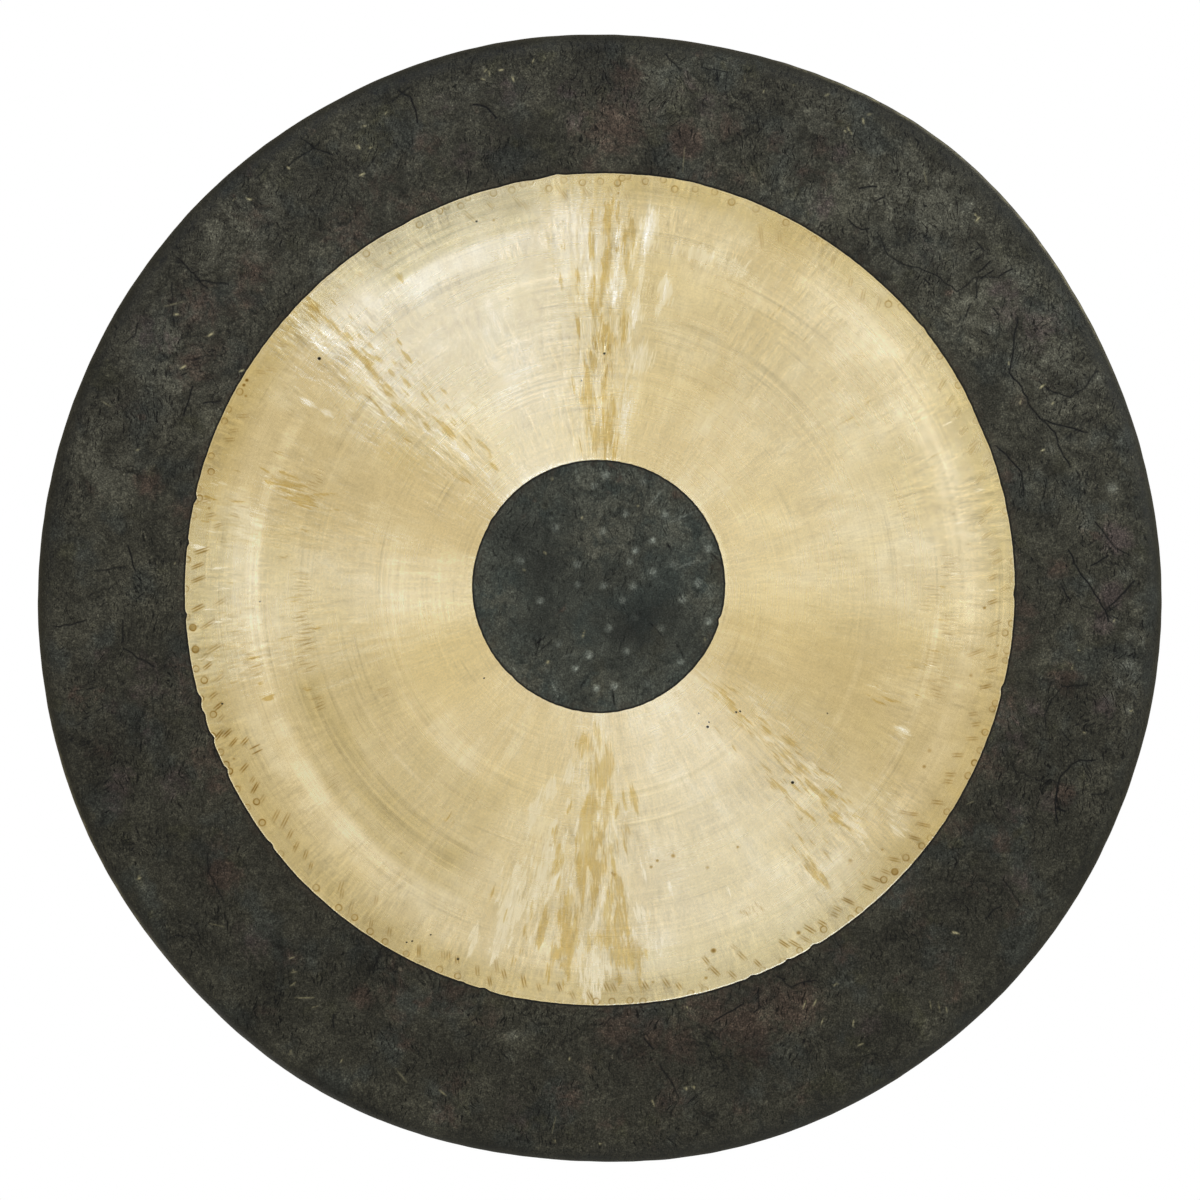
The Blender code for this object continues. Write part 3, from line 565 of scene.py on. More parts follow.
# Short streaks where the blade jumped: angle from, to, radius, how many,
# length in px, darkness.
CHATTER_GROUPS = [(273.5, 266.0, 297, 9, 16, .22), (266.0, 259.0, 298, 9, 18, .42), (259.0, 254.0, 303, 7, 14, .38), (259.8, 256.0, 355, 6, 12, .50),
                  (266.0, 261.0, 363, 7, 13, .22), (293.5, 289.0, 305, 8, 14, .24), (249.5, 246.5, 300, 5, 14, .38), (246.0, 243.5, 240, 5, 12, .25),
                  (153.0, 156.5, 356, 9, 8, .42), (359.5, 3.5, 222, 9, 14, .30), (358.0, 2.5, 245, 6, 10, .26), (84.0, 88.5, 352, 7, 18, .22),
                  (89.0, 94.0, 330, 7, 20, .18), (94.0, 97.5, 350, 6, 18, .28), (100.0, 103.0, 340, 5, 18, .30), (104.5, 108.0, 352, 6, 16, .26),
                  (72.0, 77.0, 318, 7, 16, .15), (284.0, 281.0, 372, 5, 12, .22), (236.0, 233.0, 330, 5, 16, .18), (6.0, 12.5, 300, 9, 16, .16),
                  (185.0, 190.0, 283, 8, 15, .22), (191.5, 196.0, 262, 7, 15, .20), (178.0, 181.0, 303, 6, 12, .20), (319.0, 322.0, 330, 5, 8, .16)]
ring_chatter = []
for a0, a1, rad, n, length, dark in CHATTER_GROUPS:
    if a1 - a0 > 180.0:
        a1 -= 360.0
    if a0 - a1 > 180.0:
        a1 += 360.0
    for i in range(n):
        at = a0 + (a1 - a0) * (i + 0.5 + 0.5 * (mark_rng.random() - 0.5)) / n
        ring_chatter.append((chisel_ends(at, rad + 3.0 * mark_rng.normal(), length * (0.6 + 0.6 * mark_rng.random()), 0.0,
                                         3.0 * mark_rng.normal()), dark * (0.6 + 0.6 * mark_rng.random())))
ring_spots = [(*map(float, polar(a, r)), s * PX, d) for a, r, s, d in RING_SPOTS]
ring_pits = [(*map(float, polar(a, r)), s * PX) for a, r, s in RING_PITS]
border_cracks = []
for line in BORDER_CRACKS:
    pts = [tuple(map(float, polar(a, r, "disc"))) for a, r in line]
    # Each straight run gets wandering points in between.
    full = [pts[0]]
    for (x0, z0), (x1, z1) in zip(pts, pts[1:]):
        n = max(1, int(math.hypot(x1 - x0, z1 - z0) / 4.0))
        for i in range(1, n + 1):
            t = i / n
            jit = 0.0 if i == n else 0.75
            full.append((x0 + (x1 - x0) * t + jit * (mark_rng.random() - 0.5) * 2.0,
                         z0 + (z1 - z0) * t + jit * (mark_rng.random() - 0.5) * 2.0))
    border_cracks.append((full, 0.32 + 0.3 * mark_rng.random(), 0.6 + 0.4 * mark_rng.random()))
border_strokes = []
for ang, rad, n, sa, sr, length, lean in BORDER_STROKES:
    for _ in range(n):
        border_strokes.append((chisel_ends(ang + sa * mark_rng.normal() * 0.6, rad + sr * mark_rng.normal() * 0.6,
                                           length * (0.5 + mark_rng.random()), 0.0, lean + 14.0 * mark_rng.normal(), "disc"),
                               0.35 + 0.65 * mark_rng.random()))
border_nicks = [(chisel_ends(a, r, length * 0.66, 0.0, tilt, "disc"), wide * PX * 0.26, s * (0.5 if length > 8 else 0.8))
                for a, r, length, wide, tilt, s in BORDER_NICKS]
border_dimples = [(*map(float, polar(a, r, "disc")), s * PX, d) for a, r, s, d in BORDER_DIMPLES]
border_patches = [(*map(float, polar(a, r, "disc")), s * PX * 1.8, d, red) for a, r, s, d, red in BORDER_PATCHES]
boss_dimples = [(*map(float, view_px(c, r)), 2.7 + 0.5 * mark_rng.random(), 0.45 + 0.55 * mark_rng.random())
                for c, r in BOSS_DIMPLES]
# Paler, greyer scale where handling has rubbed it thinner, mostly on the upper sides, where it also stands in for
# painted light from above: angle, radius, size, strength.
worn_and_lit_areas = [(*map(float, polar(a, r, "disc")), s * PX, d)
              for a, r, s, d in ((24, 520, 40, .8), (40, 505, 64, .9), (52, 480, 54, .8), (63, 510, 58, .8), (40, 450, 44, .7),
                                 (96, 535, 44, .5), (300, 480, 64, .9), (316, 505, 64, .8), (330, 470, 55, .6), (285, 520, 54, .7),
                                 (5, 500, 50, .5), (345, 510, 50, .45), (14, 470, 40, .5), (28, 470, 40, .6), (294, 450, 40, .6),
                                 (76, 480, 44, .4), (270, 500, 44, .3), (308, 450, 40, .6))]
# Darker, thicker scale, mostly on the lower half, also standing in for painted shade there: angle, radius, size,
# strength.
thick_and_shaded_areas = [(*map(float, polar(a, r, "disc")), s * PX, d)
               for a, r, s, d in ((118, 470, 50, .7), (131, 510, 60, .9), (140, 460, 50, .8), (150, 525, 50, .9), (162, 490, 44, .6),
                                  (178, 470, 50, .7), (186, 530, 50, .8), (200, 480, 50, .6), (214, 440, 40, .6), (222, 510, 54, .9),
                                  (238, 480, 44, .7), (248, 530, 44, .7), (262, 450, 40, .6), (232, 540, 40, .6), (170, 545, 30, .5),
                                  (350, 470, 30, .4), (20, 540, 26, .3), (0, 545, 36, .4), (78, 540, 30, .5), (330, 535, 34, .4))]
# Hammer dimples all over the border, where no scraping took them off.
hammer_dimples = []
for _ in range(150):
    a, r = mark_rng.random() * 2.0 * math.pi, math.sqrt(308.0 ** 2 + mark_rng.random() * (392.0 ** 2 - 308.0 ** 2))
    hammer_dimples.append((r * math.sin(a), r * math.cos(a), 5.0 + 6.0 * mark_rng.random(), 0.06 + 0.12 * mark_rng.random()))


def dish(x, z, dimples, depth_of):
    """Depth below the surface of shallow round dents with a slight lip."""
    d = np.zeros_like(x)
    for item in dimples:
        cx, cz, rad = item[0], item[1], item[2]
        idx = np.nonzero((np.abs(x - cx) < 1.5 * rad) & (np.abs(z - cz) < 1.5 * rad))[0]
        if len(idx) == 0:
            continue
        q = np.hypot(x[idx] - cx, z[idx] - cz) / rad
        bowl = np.where(q < 1.0, (1.0 - q * q) ** 2, 0.0)
        lip = np.exp(-((q - 1.12) / 0.16) ** 2)
        d[idx] += depth_of(item) * (bowl - 0.12 * lip)
    return d


def blob(x, z, items, strength_of):
    """Soft round stains."""
    d = np.zeros_like(x)
    for item in items:
        cx, cz, rad = item[0], item[1], item[2]
        idx = np.nonzero((np.abs(x - cx) < 2.2 * rad) & (np.abs(z - cz) < 2.2 * rad))[0]
        if len(idx) == 0:
            continue
        q = np.hypot(x[idx] - cx, z[idx] - cz) / rad
        d[idx] = np.maximum(d[idx], strength_of(item) * np.exp(-q * q))
    return d


def ring_marks(x, z):
    """Depth and darkness of punch rings and chisel lines, and black pits."""
    depth, dark, pit = np.zeros_like(x), np.zeros_like(x), np.zeros_like(x)
    for cx, cz, rad, s in ring_punches:
        idx = np.nonzero((np.abs(x - cx) < 4.6) & (np.abs(z - cz) < 4.6))[0]
        if len(idx) == 0:
            continue
        s = s ** 0.7
        q = np.hypot(x[idx] - cx, z[idx] - cz)
        # Struck by hand, so one side of each ring bites deeper.
        heavy = 0.80 + 0.20 * np.cos(np.arctan2(x[idx] - cx, z[idx] - cz) - 0.7 * cx)
        line = np.exp(-((q - rad) / 0.46) ** 2) * heavy
        fill = np.where(q < rad, 1.0, 0.0) * (0.14 if s < 0.95 else 0.42)
        halo = 0.08 * np.exp(-((q - rad) / 1.4) ** 2)
        depth[idx] += 0.10 * line
        dark[idx] = np.maximum(dark[idx], s * np.maximum(line * 0.95, fill) + s * halo * 0.5)
    for ends, s in ring_chisels:
        s = s ** 0.75
        for idx, dist, t in near_segments(x, z, ends, 2.2):
            taper = 0.45 + 0.55 * np.sin(np.pi * np.clip(t, 0.03, 0.97))
            line = np.exp(-(dist / 0.40) ** 2) * taper
            halo = 0.10 * np.exp(-(dist / 1.2) ** 2) * taper
            depth[idx] += 0.07 * line
            dark[idx] = np.maximum(dark[idx], s * (0.88 * line + halo))
    for ends, s in ring_chatter:
        for idx, dist, t in near_segments(x, z, ends, 1.8):
            line = np.exp(-(dist / 0.50) ** 2) * np.sin(np.pi * np.clip(t, 0.04, 0.96))
            depth[idx] += 0.03 * line
            dark[idx] = np.maximum(dark[idx], s * line)
    for cx, cz, rad, s in ring_spots:
        idx = np.nonzero((np.abs(x - cx) < 2.5 * rad) & (np.abs(z - cz) < 2.5 * rad))[0]
        q = np.hypot(x[idx] - cx, 1.15 * (z[idx] - cz)) / rad
        dark[idx] = np.maximum(dark[idx], s * np.exp(-(q ** 3)))
    for cx, cz, rad in ring_pits:
        idx = np.nonzero((np.abs(x - cx) < 2.5 * rad) & (np.abs(z - cz) < 2.5 * rad))[0]
        q = np.hypot(x[idx] - cx, 1.2 * (z[idx] - cz)) / rad
        g = np.exp(-(q ** 4))
        pit[idx] = np.maximum(pit[idx], g)
        depth[idx] += 0.06 * g
    return depth, dark, pit


def border_marks(x, z):
    """Depth, darkness, bare metal, pale dents (partly painted sheen), stains, and rubbed and thick areas that also
    carry painted light and shade, of the black border.
    """
    depth, dark, bare = np.zeros_like(x), np.zeros_like(x), np.zeros_like(x)
    for line, half, s in border_cracks:
        for idx, dist, t in near_segments(x, z, line, 3.0):
            groove = np.exp(-(dist / (0.30 + 0.6 * half)) ** 2)
            depth[idx] = np.maximum(depth[idx], 0.22 * groove * s)
            dark[idx] = np.maximum(dark[idx], s * groove)
    for ends, s in border_strokes:
        for idx, dist, t in near_segments(x, z, ends, 1.8):
            groove = np.exp(-(dist / 0.42) ** 2) * np.sin(np.pi * np.clip(t, 0.08, 0.92))
            depth[idx] = np.maximum(depth[idx], 0.10 * groove * s)
            dark[idx] = np.maximum(dark[idx], s * groove)
    for ends, half, s in border_nicks:
        for idx, dist, t in near_segments(x, z, ends, 2.4 + half):
            cut = np.exp(-(dist / (0.30 + 0.55 * half)) ** 2) * (0.35 + 0.65 * np.sin(np.pi * np.clip(t, 0.1, 0.9)))
            depth[idx] = np.maximum(depth[idx], 0.12 * cut * s)
            bare[idx] = np.maximum(bare[idx], s * cut)
    # Painted sheen in the peened dimples.
    pale = blob(x, z, border_dimples, lambda i: i[3])
    rust = blob(x, z, [p for p in border_patches if p[4] >= 0.5], lambda i: i[3])
    plum = blob(x, z, [p for p in border_patches if p[4] < 0.5], lambda i: i[3])
    worn = blob(x, z, worn_and_lit_areas, lambda i: i[3]) - blob(x, z, thick_and_shaded_areas, lambda i: i[3])
    return depth, dark, bare, pale, rust, plum, worn


# ---------------------------------------------------------------------------
# Node helpers
# ---------------------------------------------------------------------------
class Tree:
    def __init__(self, name):
        self.mat = bpy.data.materials.new(name)
        self.mat.use_nodes = True
        self.nt = self.mat.node_tree
        self.bsdf = self.nt.nodes["Principled BSDF"]
        self.out = self.nt.nodes["Material Output"]
        self.at = 0

    def node(self, kind, **props):
        n = self.nt.nodes.new(kind)
        self.at += 1
        n.location = (-220 * (1 + self.at // 8), 260 - 170 * (self.at % 8))
        for key, value in props.items():
            setattr(n, key, value)
        return n

    def put(self, socket, value):
        if isinstance(value, bpy.types.NodeSocket):
            self.nt.links.new(value, socket)
        elif value is not None:
            if hasattr(socket.default_value, "__len__") and not hasattr(value, "__len__"):
                value = (value,) * len(socket.default_value)
            if hasattr(socket.default_value, "__len__") and len(socket.default_value) == 4 and len(value) == 3:
                value = (*value, 1.0)
            socket.default_value = value

    def math(self, op, a, b=None, c=None, clamp=False):
        n = self.node("ShaderNodeMath", operation=op, use_clamp=clamp)
        for i, v in enumerate((a, b, c)):
            self.put(n.inputs[i], v)
        return n.outputs[0]

    def vmath(self, op, a, b=None, scale=None):
        n = self.node("ShaderNodeVectorMath", operation=op)
        self.put(n.inputs[0], a)
        if b is not None:
            self.put(n.inputs[1], b)
        if scale is not None:
            self.put(n.inputs["Scale"], scale)
        return n.outputs["Value"] if op in ("LENGTH", "DOT_PRODUCT", "DISTANCE") else n.outputs["Vector"]

    def noise(self, vector, scale=1.0, detail=3.0, rough=0.5, distort=0.0, colour=False):
        n = self.node("ShaderNodeTexNoise")
        self.put(n.inputs["Vector"], vector)
        n.inputs["Scale"].default_value = scale
        n.inputs["Detail"].default_value = detail
        n.inputs["Roughness"].default_value = rough
        n.inputs["Distortion"].default_value = distort
        return n.outputs["Color" if colour else "Fac"]

    def ramp(self, value, a, b, lo=0.0, hi=1.0):
        n = self.node("ShaderNodeMapRange", interpolation_type="SMOOTHSTEP", clamp=True)
        self.put(n.inputs["Value"], value)
        for key, v in (("From Min", a), ("From Max", b), ("To Min", lo), ("To Max", hi)):
            self.put(n.inputs[key], v)
        return n.outputs["Result"]

    def mix(self, fac, a, b, blend="MIX"):
        n = self.node("ShaderNodeMix", data_type="RGBA", blend_type=blend, clamp_factor=True)
        self.put(n.inputs[0], fac)
        self.put(n.inputs[6], a)
        self.put(n.inputs[7], b)
        return n.outputs[2]

    def attr(self, name):
        return self.node("ShaderNodeAttribute", attribute_name=name).outputs["Fac"]

    def centred(self, value, gain):
        """A 0 to 1 noise as plus or minus, times a gain."""
        return self.math("MULTIPLY", self.math("SUBTRACT", value, 0.5), gain)

    def add(self, *values):
        total = values[0]
        for v in values[1:]:
            total = self.math("ADD", total, v)
        return total

    def mul(self, *values):
        total = values[0]
        for v in values[1:]:
            total = self.math("MULTIPLY", total, v)
        return total

    def bump(self, height, distance, strength=1.0, normal=None):
        n = self.node("ShaderNodeBump")
        n.inputs["Strength"].default_value = strength
        n.inputs["Distance"].default_value = distance
        self.put(n.inputs["Height"], height)
        if normal is not None:
            self.put(n.inputs["Normal"], normal)
        return n.outputs["Normal"]

    def place(self):
        return self.node("ShaderNodeTexCoord").outputs["Object"]

    def xyz(self, vector):
        n = self.node("ShaderNodeSeparateXYZ")
        self.put(n.inputs[0], vector)
        return n.outputs[0], n.outputs[1], n.outputs[2]

    def vec(self, x, y, z):
        n = self.node("ShaderNodeCombineXYZ")
        for i, v in enumerate((x, y, z)):
            self.put(n.inputs[i], v)
        return n.outputs[0]

    def round_coords(self, centre):
        """Unit direction (x, z) and distance in metres from the turning axis."""
        rel = self.vmath("SUBTRACT", self.place(), (centre[0] * 1e-3, 0.0, CENTRE_Z + centre[1] * 1e-3))
        flat = self.vmath("MULTIPLY", rel, (1.0, 0.0, 1.0))
        rho = self.vmath("LENGTH", flat)
        unit = self.vmath("NORMALIZE", flat)
        ux, _, uz = self.xyz(unit)
        return ux, uz, rho

    def turned(self, ux, uz, rho, around, along, shift=0.0):
        """Coordinates that run round the axis and along its radius."""
        return self.vec(self.mul(ux, around), self.math("MULTIPLY_ADD", rho, along, shift), self.mul(uz, around))


# ---------------------------------------------------------------------------
# Materials
# ---------------------------------------------------------------------------
def scraped_bronze(name, seed):
    t = Tree(name)
    ux, uz, rho = t.round_coords(RING_AT)
    here = t.vmath("ADD", t.place(), (0.37 * seed, 1.13 * seed, 0.71 * seed))
    # Fine circles left by the scraper, in four spacings; some runs bite harder.
    hair = t.noise(t.turned(ux, uz, rho, 3.0, 640.0, seed + 31.0), 1.0, 0.0, 0.5)
    fine = t.noise(t.turned(ux, uz, rho, 2.0, 360.0, seed), 1.0, 1.0, 0.5)
    band = t.noise(t.turned(ux, uz, rho, 0.8, 150.0, seed + 4.0), 1.0, 2.0, 0.55)
    wide = t.noise(t.turned(ux, uz, rho, 0.35, 34.0, seed + 9.0), 1.0, 2.0, 0.5)
    line = t.noise(t.turned(ux, uz, rho, 0.8, 250.0, seed + 21.0), 1.0, 0.0, 0.5)
    runs = t.ramp(t.noise(t.turned(ux, uz, rho, 2.6, 44.0, seed + 17.0), 1.0, 3.0, 0.6), 0.46, 0.66)
    grooves = t.mul(t.ramp(line, 0.655, 0.71), t.math("MULTIPLY_ADD", runs, 0.9, 0.1))
    ridges = t.mul(t.ramp(line, 0.345, 0.295), t.math("MULTIPLY_ADD", runs, 0.9, 0.1))
    # The blade's chatter: streaks along the radius, in patches.
    chat = t.noise(t.turned(ux, uz, rho, 105.0, 78.0, seed + 2.0), 1.0, 2.0, 0.6)
    chat_wide = t.noise(t.turned(ux, uz, rho, 54.0, 42.0, seed + 5.0), 1.0, 3.0, 0.6, 0.5)
    flame = t.noise(t.turned(ux, uz, rho, 24.0, 26.0, seed + 15.0), 1.0, 3.0, 0.62, 0.9)
    ragged = t.add(t.mul(t.noise(t.turned(ux, uz, rho, 62.0, 46.0, seed + 19.0), 1.0, 3.0, 0.62, 0.7), 0.5),
                   t.mul(t.noise(t.turned(ux, uz, rho, 190.0, 84.0, seed + 23.0), 1.0, 2.0, 0.6, 0.3), 0.5))
    where = t.noise(t.turned(ux, uz, rho, 8.0, 26.0, seed + 7.0), 1.0, 3.0, 0.6)
    where = t.ramp(where, 0.42, 0.62)
    outer = t.ramp(rho, 0.215, 0.262)
    rip, lane = t.attr("rip"), t.attr("lane")
    glow, dusk = t.attr("glow"), t.attr("dusk")
    # Clouds of wear and of thin tarnish.
    cloud = t.noise(here, 16.0, 4.0, 0.55)
    patch = t.noise(t.turned(ux, uz, rho, 9.0, 28.0, seed + 12.0), 1.0, 4.0, 0.6)
    blot = t.noise(t.turned(ux, uz, rho, 17.0, 70.0, seed + 27.0), 1.0, 4.0, 0.62, 0.4)
    speck = t.noise(here, 760.0, 2.0, 0.6)
    biting = t.math("MULTIPLY_ADD", runs, 0.85, 0.30)
    tone = t.add(t.mul(t.centred(hair, 0.19), biting), t.mul(t.centred(fine, 0.17), biting), t.centred(band, 0.045), t.centred(wide, 0.03),
                 t.centred(cloud, 0.14), t.centred(patch, 0.20), t.centred(blot, 0.13), t.centred(speck, 0.36))
    # The chatter and flame streaks in the colour are partly painted reflection, strongest where rip is high.
    chatter = t.mul(t.centred(chat, 0.58), t.add(t.mul(where, t.math("MULTIPLY_ADD", outer, 0.7, 0.3)), t.mul(rip, 0.5)))
    tone = t.add(tone, chatter, t.mul(t.centred(chat_wide, 0.30), t.add(t.mul(where, 0.7), 0.25, t.mul(rip, 0.45))), 1.0)
    tone = t.add(tone, t.mul(t.centred(flame, 0.40), t.math("MULTIPLY_ADD", rip, 0.9, 0.14)))
    tone = t.add(tone, t.mul(grooves, -0.12), t.mul(ridges, 0.045), t.ramp(rho, 0.140, 0.178, 0.065, 0.0))
    # Lanes: narrow scraped bands, and broad sectors of painted light and painted shade.
    lane = t.mul(lane, t.ramp(patch, 0.34, 0.60, 0.45, 1.0))
    laned = t.math("MULTIPLY_ADD", t.centred(fine, 1.0), 0.45, 0.19)
    tone = t.add(tone, t.mul(lane, laned))
    edge_out = t.attr("edge_out")
    near_edge = t.ramp(edge_out, 7.0, 31.0, 1.0, 0.0)
    tone = t.math("SUBTRACT", tone, t.mul(near_edge, 0.15))
    pale = t.mix(t.ramp(t.add(patch, t.mul(cloud, 0.6)), 0.72, 1.0), (0.86, 0.765, 0.56), (0.90, 0.83, 0.66))
    warm = t.mix(t.ramp(t.noise(here, 9.0, 3.0, 0.5), 0.45, 0.7), pale, (0.85, 0.745, 0.50))
    warm = t.mix(t.mul(near_edge, t.ramp(blot, 0.30, 0.62, 0.55, 0.95)), warm, (0.86, 0.735, 0.435))
    warm = t.mix(t.math("MULTIPLY", lane, 0.8, clamp=True), warm, (0.93, 0.87, 0.74))
    warm = t.mix(t.math("MULTIPLY", lane, -0.9, clamp=True), warm, (0.85, 0.735, 0.45))
    lit = t.mix(1.0, warm, t.vec(tone, tone, tone), "MULTIPLY")
    # Painted highlight and painted shade: paler and browner flames with ragged sides where facets lean toward or away
    # from the lit side.
    painted_brown_shade = t.mul(t.ramp(t.add(dusk, t.centred(ragged, 2.8)), 0.26, 0.62), t.ramp(dusk, 0.03, 0.22))
    bright = t.mul(t.ramp(t.add(glow, t.centred(chat_wide, 0.8), t.centred(ragged, 3.2)), 0.28, 0.64), t.ramp(glow, 0.03, 0.22))
    streaky = t.ramp(t.add(t.mul(chat, 0.5), t.mul(ragged, 0.5)), 0.40, 0.58)
    lit = t.mix(t.mul(bright, t.math("MULTIPLY_ADD", streaky, 0.34, 0.56)), lit, (1.0, 0.945, 0.80))
    lit = t.mix(t.mul(painted_brown_shade, t.math("MULTIPLY_ADD", streaky, 0.38, 0.62)), lit, t.mix(1.0, lit, (0.80, 0.700, 0.440), "MULTIPLY"))
    # Tool marks in brown, pits in black, a painted highlight on the burr at the outer edge and a painted pale highlight
    # along the inner edge.
    dark = t.attr("mark")
    lit = t.mix(t.math("MULTIPLY", dark, 2.0, clamp=True), lit, t.mix(1.0, lit, (0.62, 0.49, 0.26), "MULTIPLY"))
    lit = t.mix(t.ramp(dark, 0.35, 1.15), lit, (0.185, 0.088, 0.008))
    burr_highlight = t.mul(t.ramp(edge_out, 0.35, 1.05, 1.0, 0.0), t.ramp(edge_out, 0.0, 0.12))
    lit = t.mix(t.mul(burr_highlight, 0.35), lit, (1.0, 0.94, 0.76))
    inside = t.attr("edge_in")
    inner_edge_highlight = t.mul(t.ramp(inside, 0.3, 1.2, 1.0, 0.0), 0.20)
    lit = t.mix(inner_edge_highlight, lit, (0.98, 0.92, 0.74))
    pit = t.attr("pit")
    lit = t.mix(t.math("MULTIPLY", pit, 1.7, clamp=True), lit, (0.012, 0.010, 0.006))
    t.put(t.bsdf.inputs["Base Color"], lit)
    t.bsdf.inputs["Metallic"].default_value = 1.0
    rough = t.add(t.centred(fine, 0.02), t.centred(cloud, 0.04), t.mul(dark, 0.15), t.mul(pit, 0.6), 0.272)
    t.put(t.bsdf.inputs["Roughness"], rough)
    t.bsdf.inputs["Anisotropic"].default_value = 1.0
    t.bsdf.inputs["Anisotropic Rotation"].default_value = 0.25
    tangent = t.node("ShaderNodeTangent", direction_type="RADIAL", axis="Y")
    t.put(t.bsdf.inputs["Tangent"], tangent.outputs[0])
    height = t.add(t.mul(fine, 0.004), t.mul(band, 0.010), t.mul(grooves, -0.003),
                   t.mul(chat, t.add(t.mul(where, 0.035), t.mul(rip, 0.15), 0.01)),
                   t.mul(chat_wide, t.add(t.mul(where, 0.08), t.mul(rip, 0.30), 0.03)),
                   t.mul(flame, t.add(t.mul(rip, 0.50), 0.10)), t.mul(patch, 0.05), t.mul(speck, 0.002))
    t.put(t.bsdf.inputs["Normal"], t.bump(height, 0.001))
    return t.mat


def black_scale(name, seed, level=1.0, rough_tone=1.0, dimple_sheen_colour=(0.0440, 0.0450, 0.0370)):
    t = Tree(name)
    here = t.vmath("ADD", t.place(), (0.53 * seed, 0.91 * seed, 1.37 * seed))
    warp = t.noise(here, 30.0, 2.0, 0.5, colour=True)
    bent = t.vmath("ADD", here, t.vmath("SCALE", t.vmath("SUBTRACT", warp, (0.5, 0.5, 0.5)), scale=0.030))
    cloud = t.noise(bent, 19.0, 5.0, 0.58)
    mid = t.noise(bent, 75.0, 6.0, 0.64)
    fine = t.noise(here, 330.0, 4.0, 0.62)
    grain = t.noise(here, 900.0, 2.0, 0.6)
    # Scaly scuffs: short strokes in two directions, in patches.
    stroke = []
    for i, turn in enumerate((0.6, 2.1, 1.2, 2.7)):
        mp = t.node("ShaderNodeMapping")
        t.put(mp.inputs["Vector"], bent)
        mp.inputs["Rotation"].default_value = (0.0, turn, 0.0)
        mp.inputs["Scale"].default_value = (820.0, 260.0, 165.0)
        mp.inputs["Location"].default_value = (3.7 * i + seed, 0.0, 1.9 * i)
        stroke.append((t.noise(mp.outputs[0], 1.0, 2.0, 0.55),
                       t.ramp(t.noise(here, 21.0 + 5.0 * i, 3.0, 0.6), 0.43, 0.60)))
    scuff_dark = t.math("MAXIMUM", t.mul(t.ramp(stroke[0][0], 0.59, 0.66), stroke[0][1]),
                        t.mul(t.ramp(stroke[1][0], 0.60, 0.67), stroke[1][1]))
    scuff_pale = t.math("MAXIMUM", t.mul(t.ramp(stroke[2][0], 0.60, 0.74), stroke[2][1]),
                        t.mul(t.ramp(stroke[3][0], 0.60, 0.74), stroke[3][1]))
    # Crazing of the scale along wandering cell edges.
    cell = t.node("ShaderNodeTexVoronoi", feature="DISTANCE_TO_EDGE")
    t.put(cell.inputs["Vector"], t.vmath("ADD", bent, t.vmath("SCALE", t.vmath("SUBTRACT", t.noise(here, 110.0, 3.0, 0.6, colour=True), (0.5, 0.5, 0.5)), scale=0.016)))
    cell.inputs["Scale"].default_value = 30.0
    craze = t.mul(t.ramp(cell.outputs["Distance"], 0.006, 0.030, 1.0, 0.0), t.ramp(t.noise(here, 17.0, 3.0, 0.55), 0.53, 0.66))
    dark, bare, pale_and_sheen = t.attr("mark"), t.attr("bare"), t.attr("pale")
    rust_att, plum_att = t.attr("rust"), t.attr("plum")
    power = t.add(t.centred(cloud, 1.9), t.centred(mid, 2.0), t.centred(fine, 2.3), t.centred(grain, 3.7))
    power = t.math("MULTIPLY_ADD", power, rough_tone, math.log(level))
    power = t.add(power, t.mul(scuff_pale, 0.55), t.mul(pale_and_sheen, t.math("MULTIPLY_ADD", mid, 0.9, 0.25)))
    power = t.math("SUBTRACT", power, t.add(t.mul(scuff_dark, 1.6 if level == 1.0 else 0.9), t.mul(craze, 0.85 if level == 1.0 else 0.2)))
    # Rubbed and thick scale, which also carries painted light on the upper sides and painted shade on the lower half.
    worn = t.attr("worn")
    power = t.add(power, t.mul(t.math("MINIMUM", worn, 0.0), t.math("MULTIPLY_ADD", cloud, 0.5, 0.15)))
    tone = t.math("POWER", 2.718, power)
    grey = (0.0289, 0.0266, 0.0182) if level == 1.0 else (0.0274, 0.0290, 0.0229)
    hue = t.noise(t.vmath("ADD", here, (5.1, 2.2, 8.3)), 24.0, 3.0, 0.55)
    colour = t.mix(t.ramp(hue, 0.50, 0.64), grey, (0.0272, 0.0276, 0.0214) if level == 1.0 else (0.0258, 0.0301, 0.0252))
    hue2 = t.noise(t.vmath("ADD", here, (1.7, 6.2, 3.3)), 34.0, 4.0, 0.6)
    colour = t.mix(t.ramp(hue2, 0.56, 0.70), colour, (0.0307, 0.0286, 0.0172) if level == 1.0 else (0.0292, 0.0292, 0.0212))
    colour = t.mix(t.mul(t.math("MAXIMUM", worn, 0.0), t.ramp(mid, 0.38, 0.56)), colour, (0.0468, 0.0440, 0.0315))
    ragged = t.noise(bent, 120.0, 4.0, 0.65)
    loose = t.ramp(t.noise(t.vmath("ADD", here, (9.9, 4.2, 0.3)), 27.0, 4.0, 0.6), 0.60, 0.74)
    rust = t.ramp(t.add(t.mul(t.math("MAXIMUM", rust_att, t.mul(loose, 0.6)), 0.95), t.centred(ragged, 1.3)), 0.22, 0.80)
    colour = t.mix(t.mul(rust, 0.72), colour, (0.0470, 0.0305, 0.0218))
    plum = t.ramp(t.add(plum_att, t.centred(ragged, 1.3)), 0.26, 0.85)
    colour = t.mix(t.mul(plum, 0.72), colour, (0.0490, 0.0355, 0.0320))
    # Pale scratches, and a painted sheen in the peened dimples.
    colour = t.mix(t.mul(pale_and_sheen, 0.55 if level == 1.0 else 0.9), colour, dimple_sheen_colour)
    colour = t.mix(1.0, colour, t.vec(tone, tone, tone), "MULTIPLY")
    broken = t.mul(dark, t.ramp(fine, 0.36, 0.52, 0.62, 1.0))
    colour = t.mix(t.math("MULTIPLY", broken, 1.45, clamp=True), colour, (0.0024, 0.0024, 0.0024))
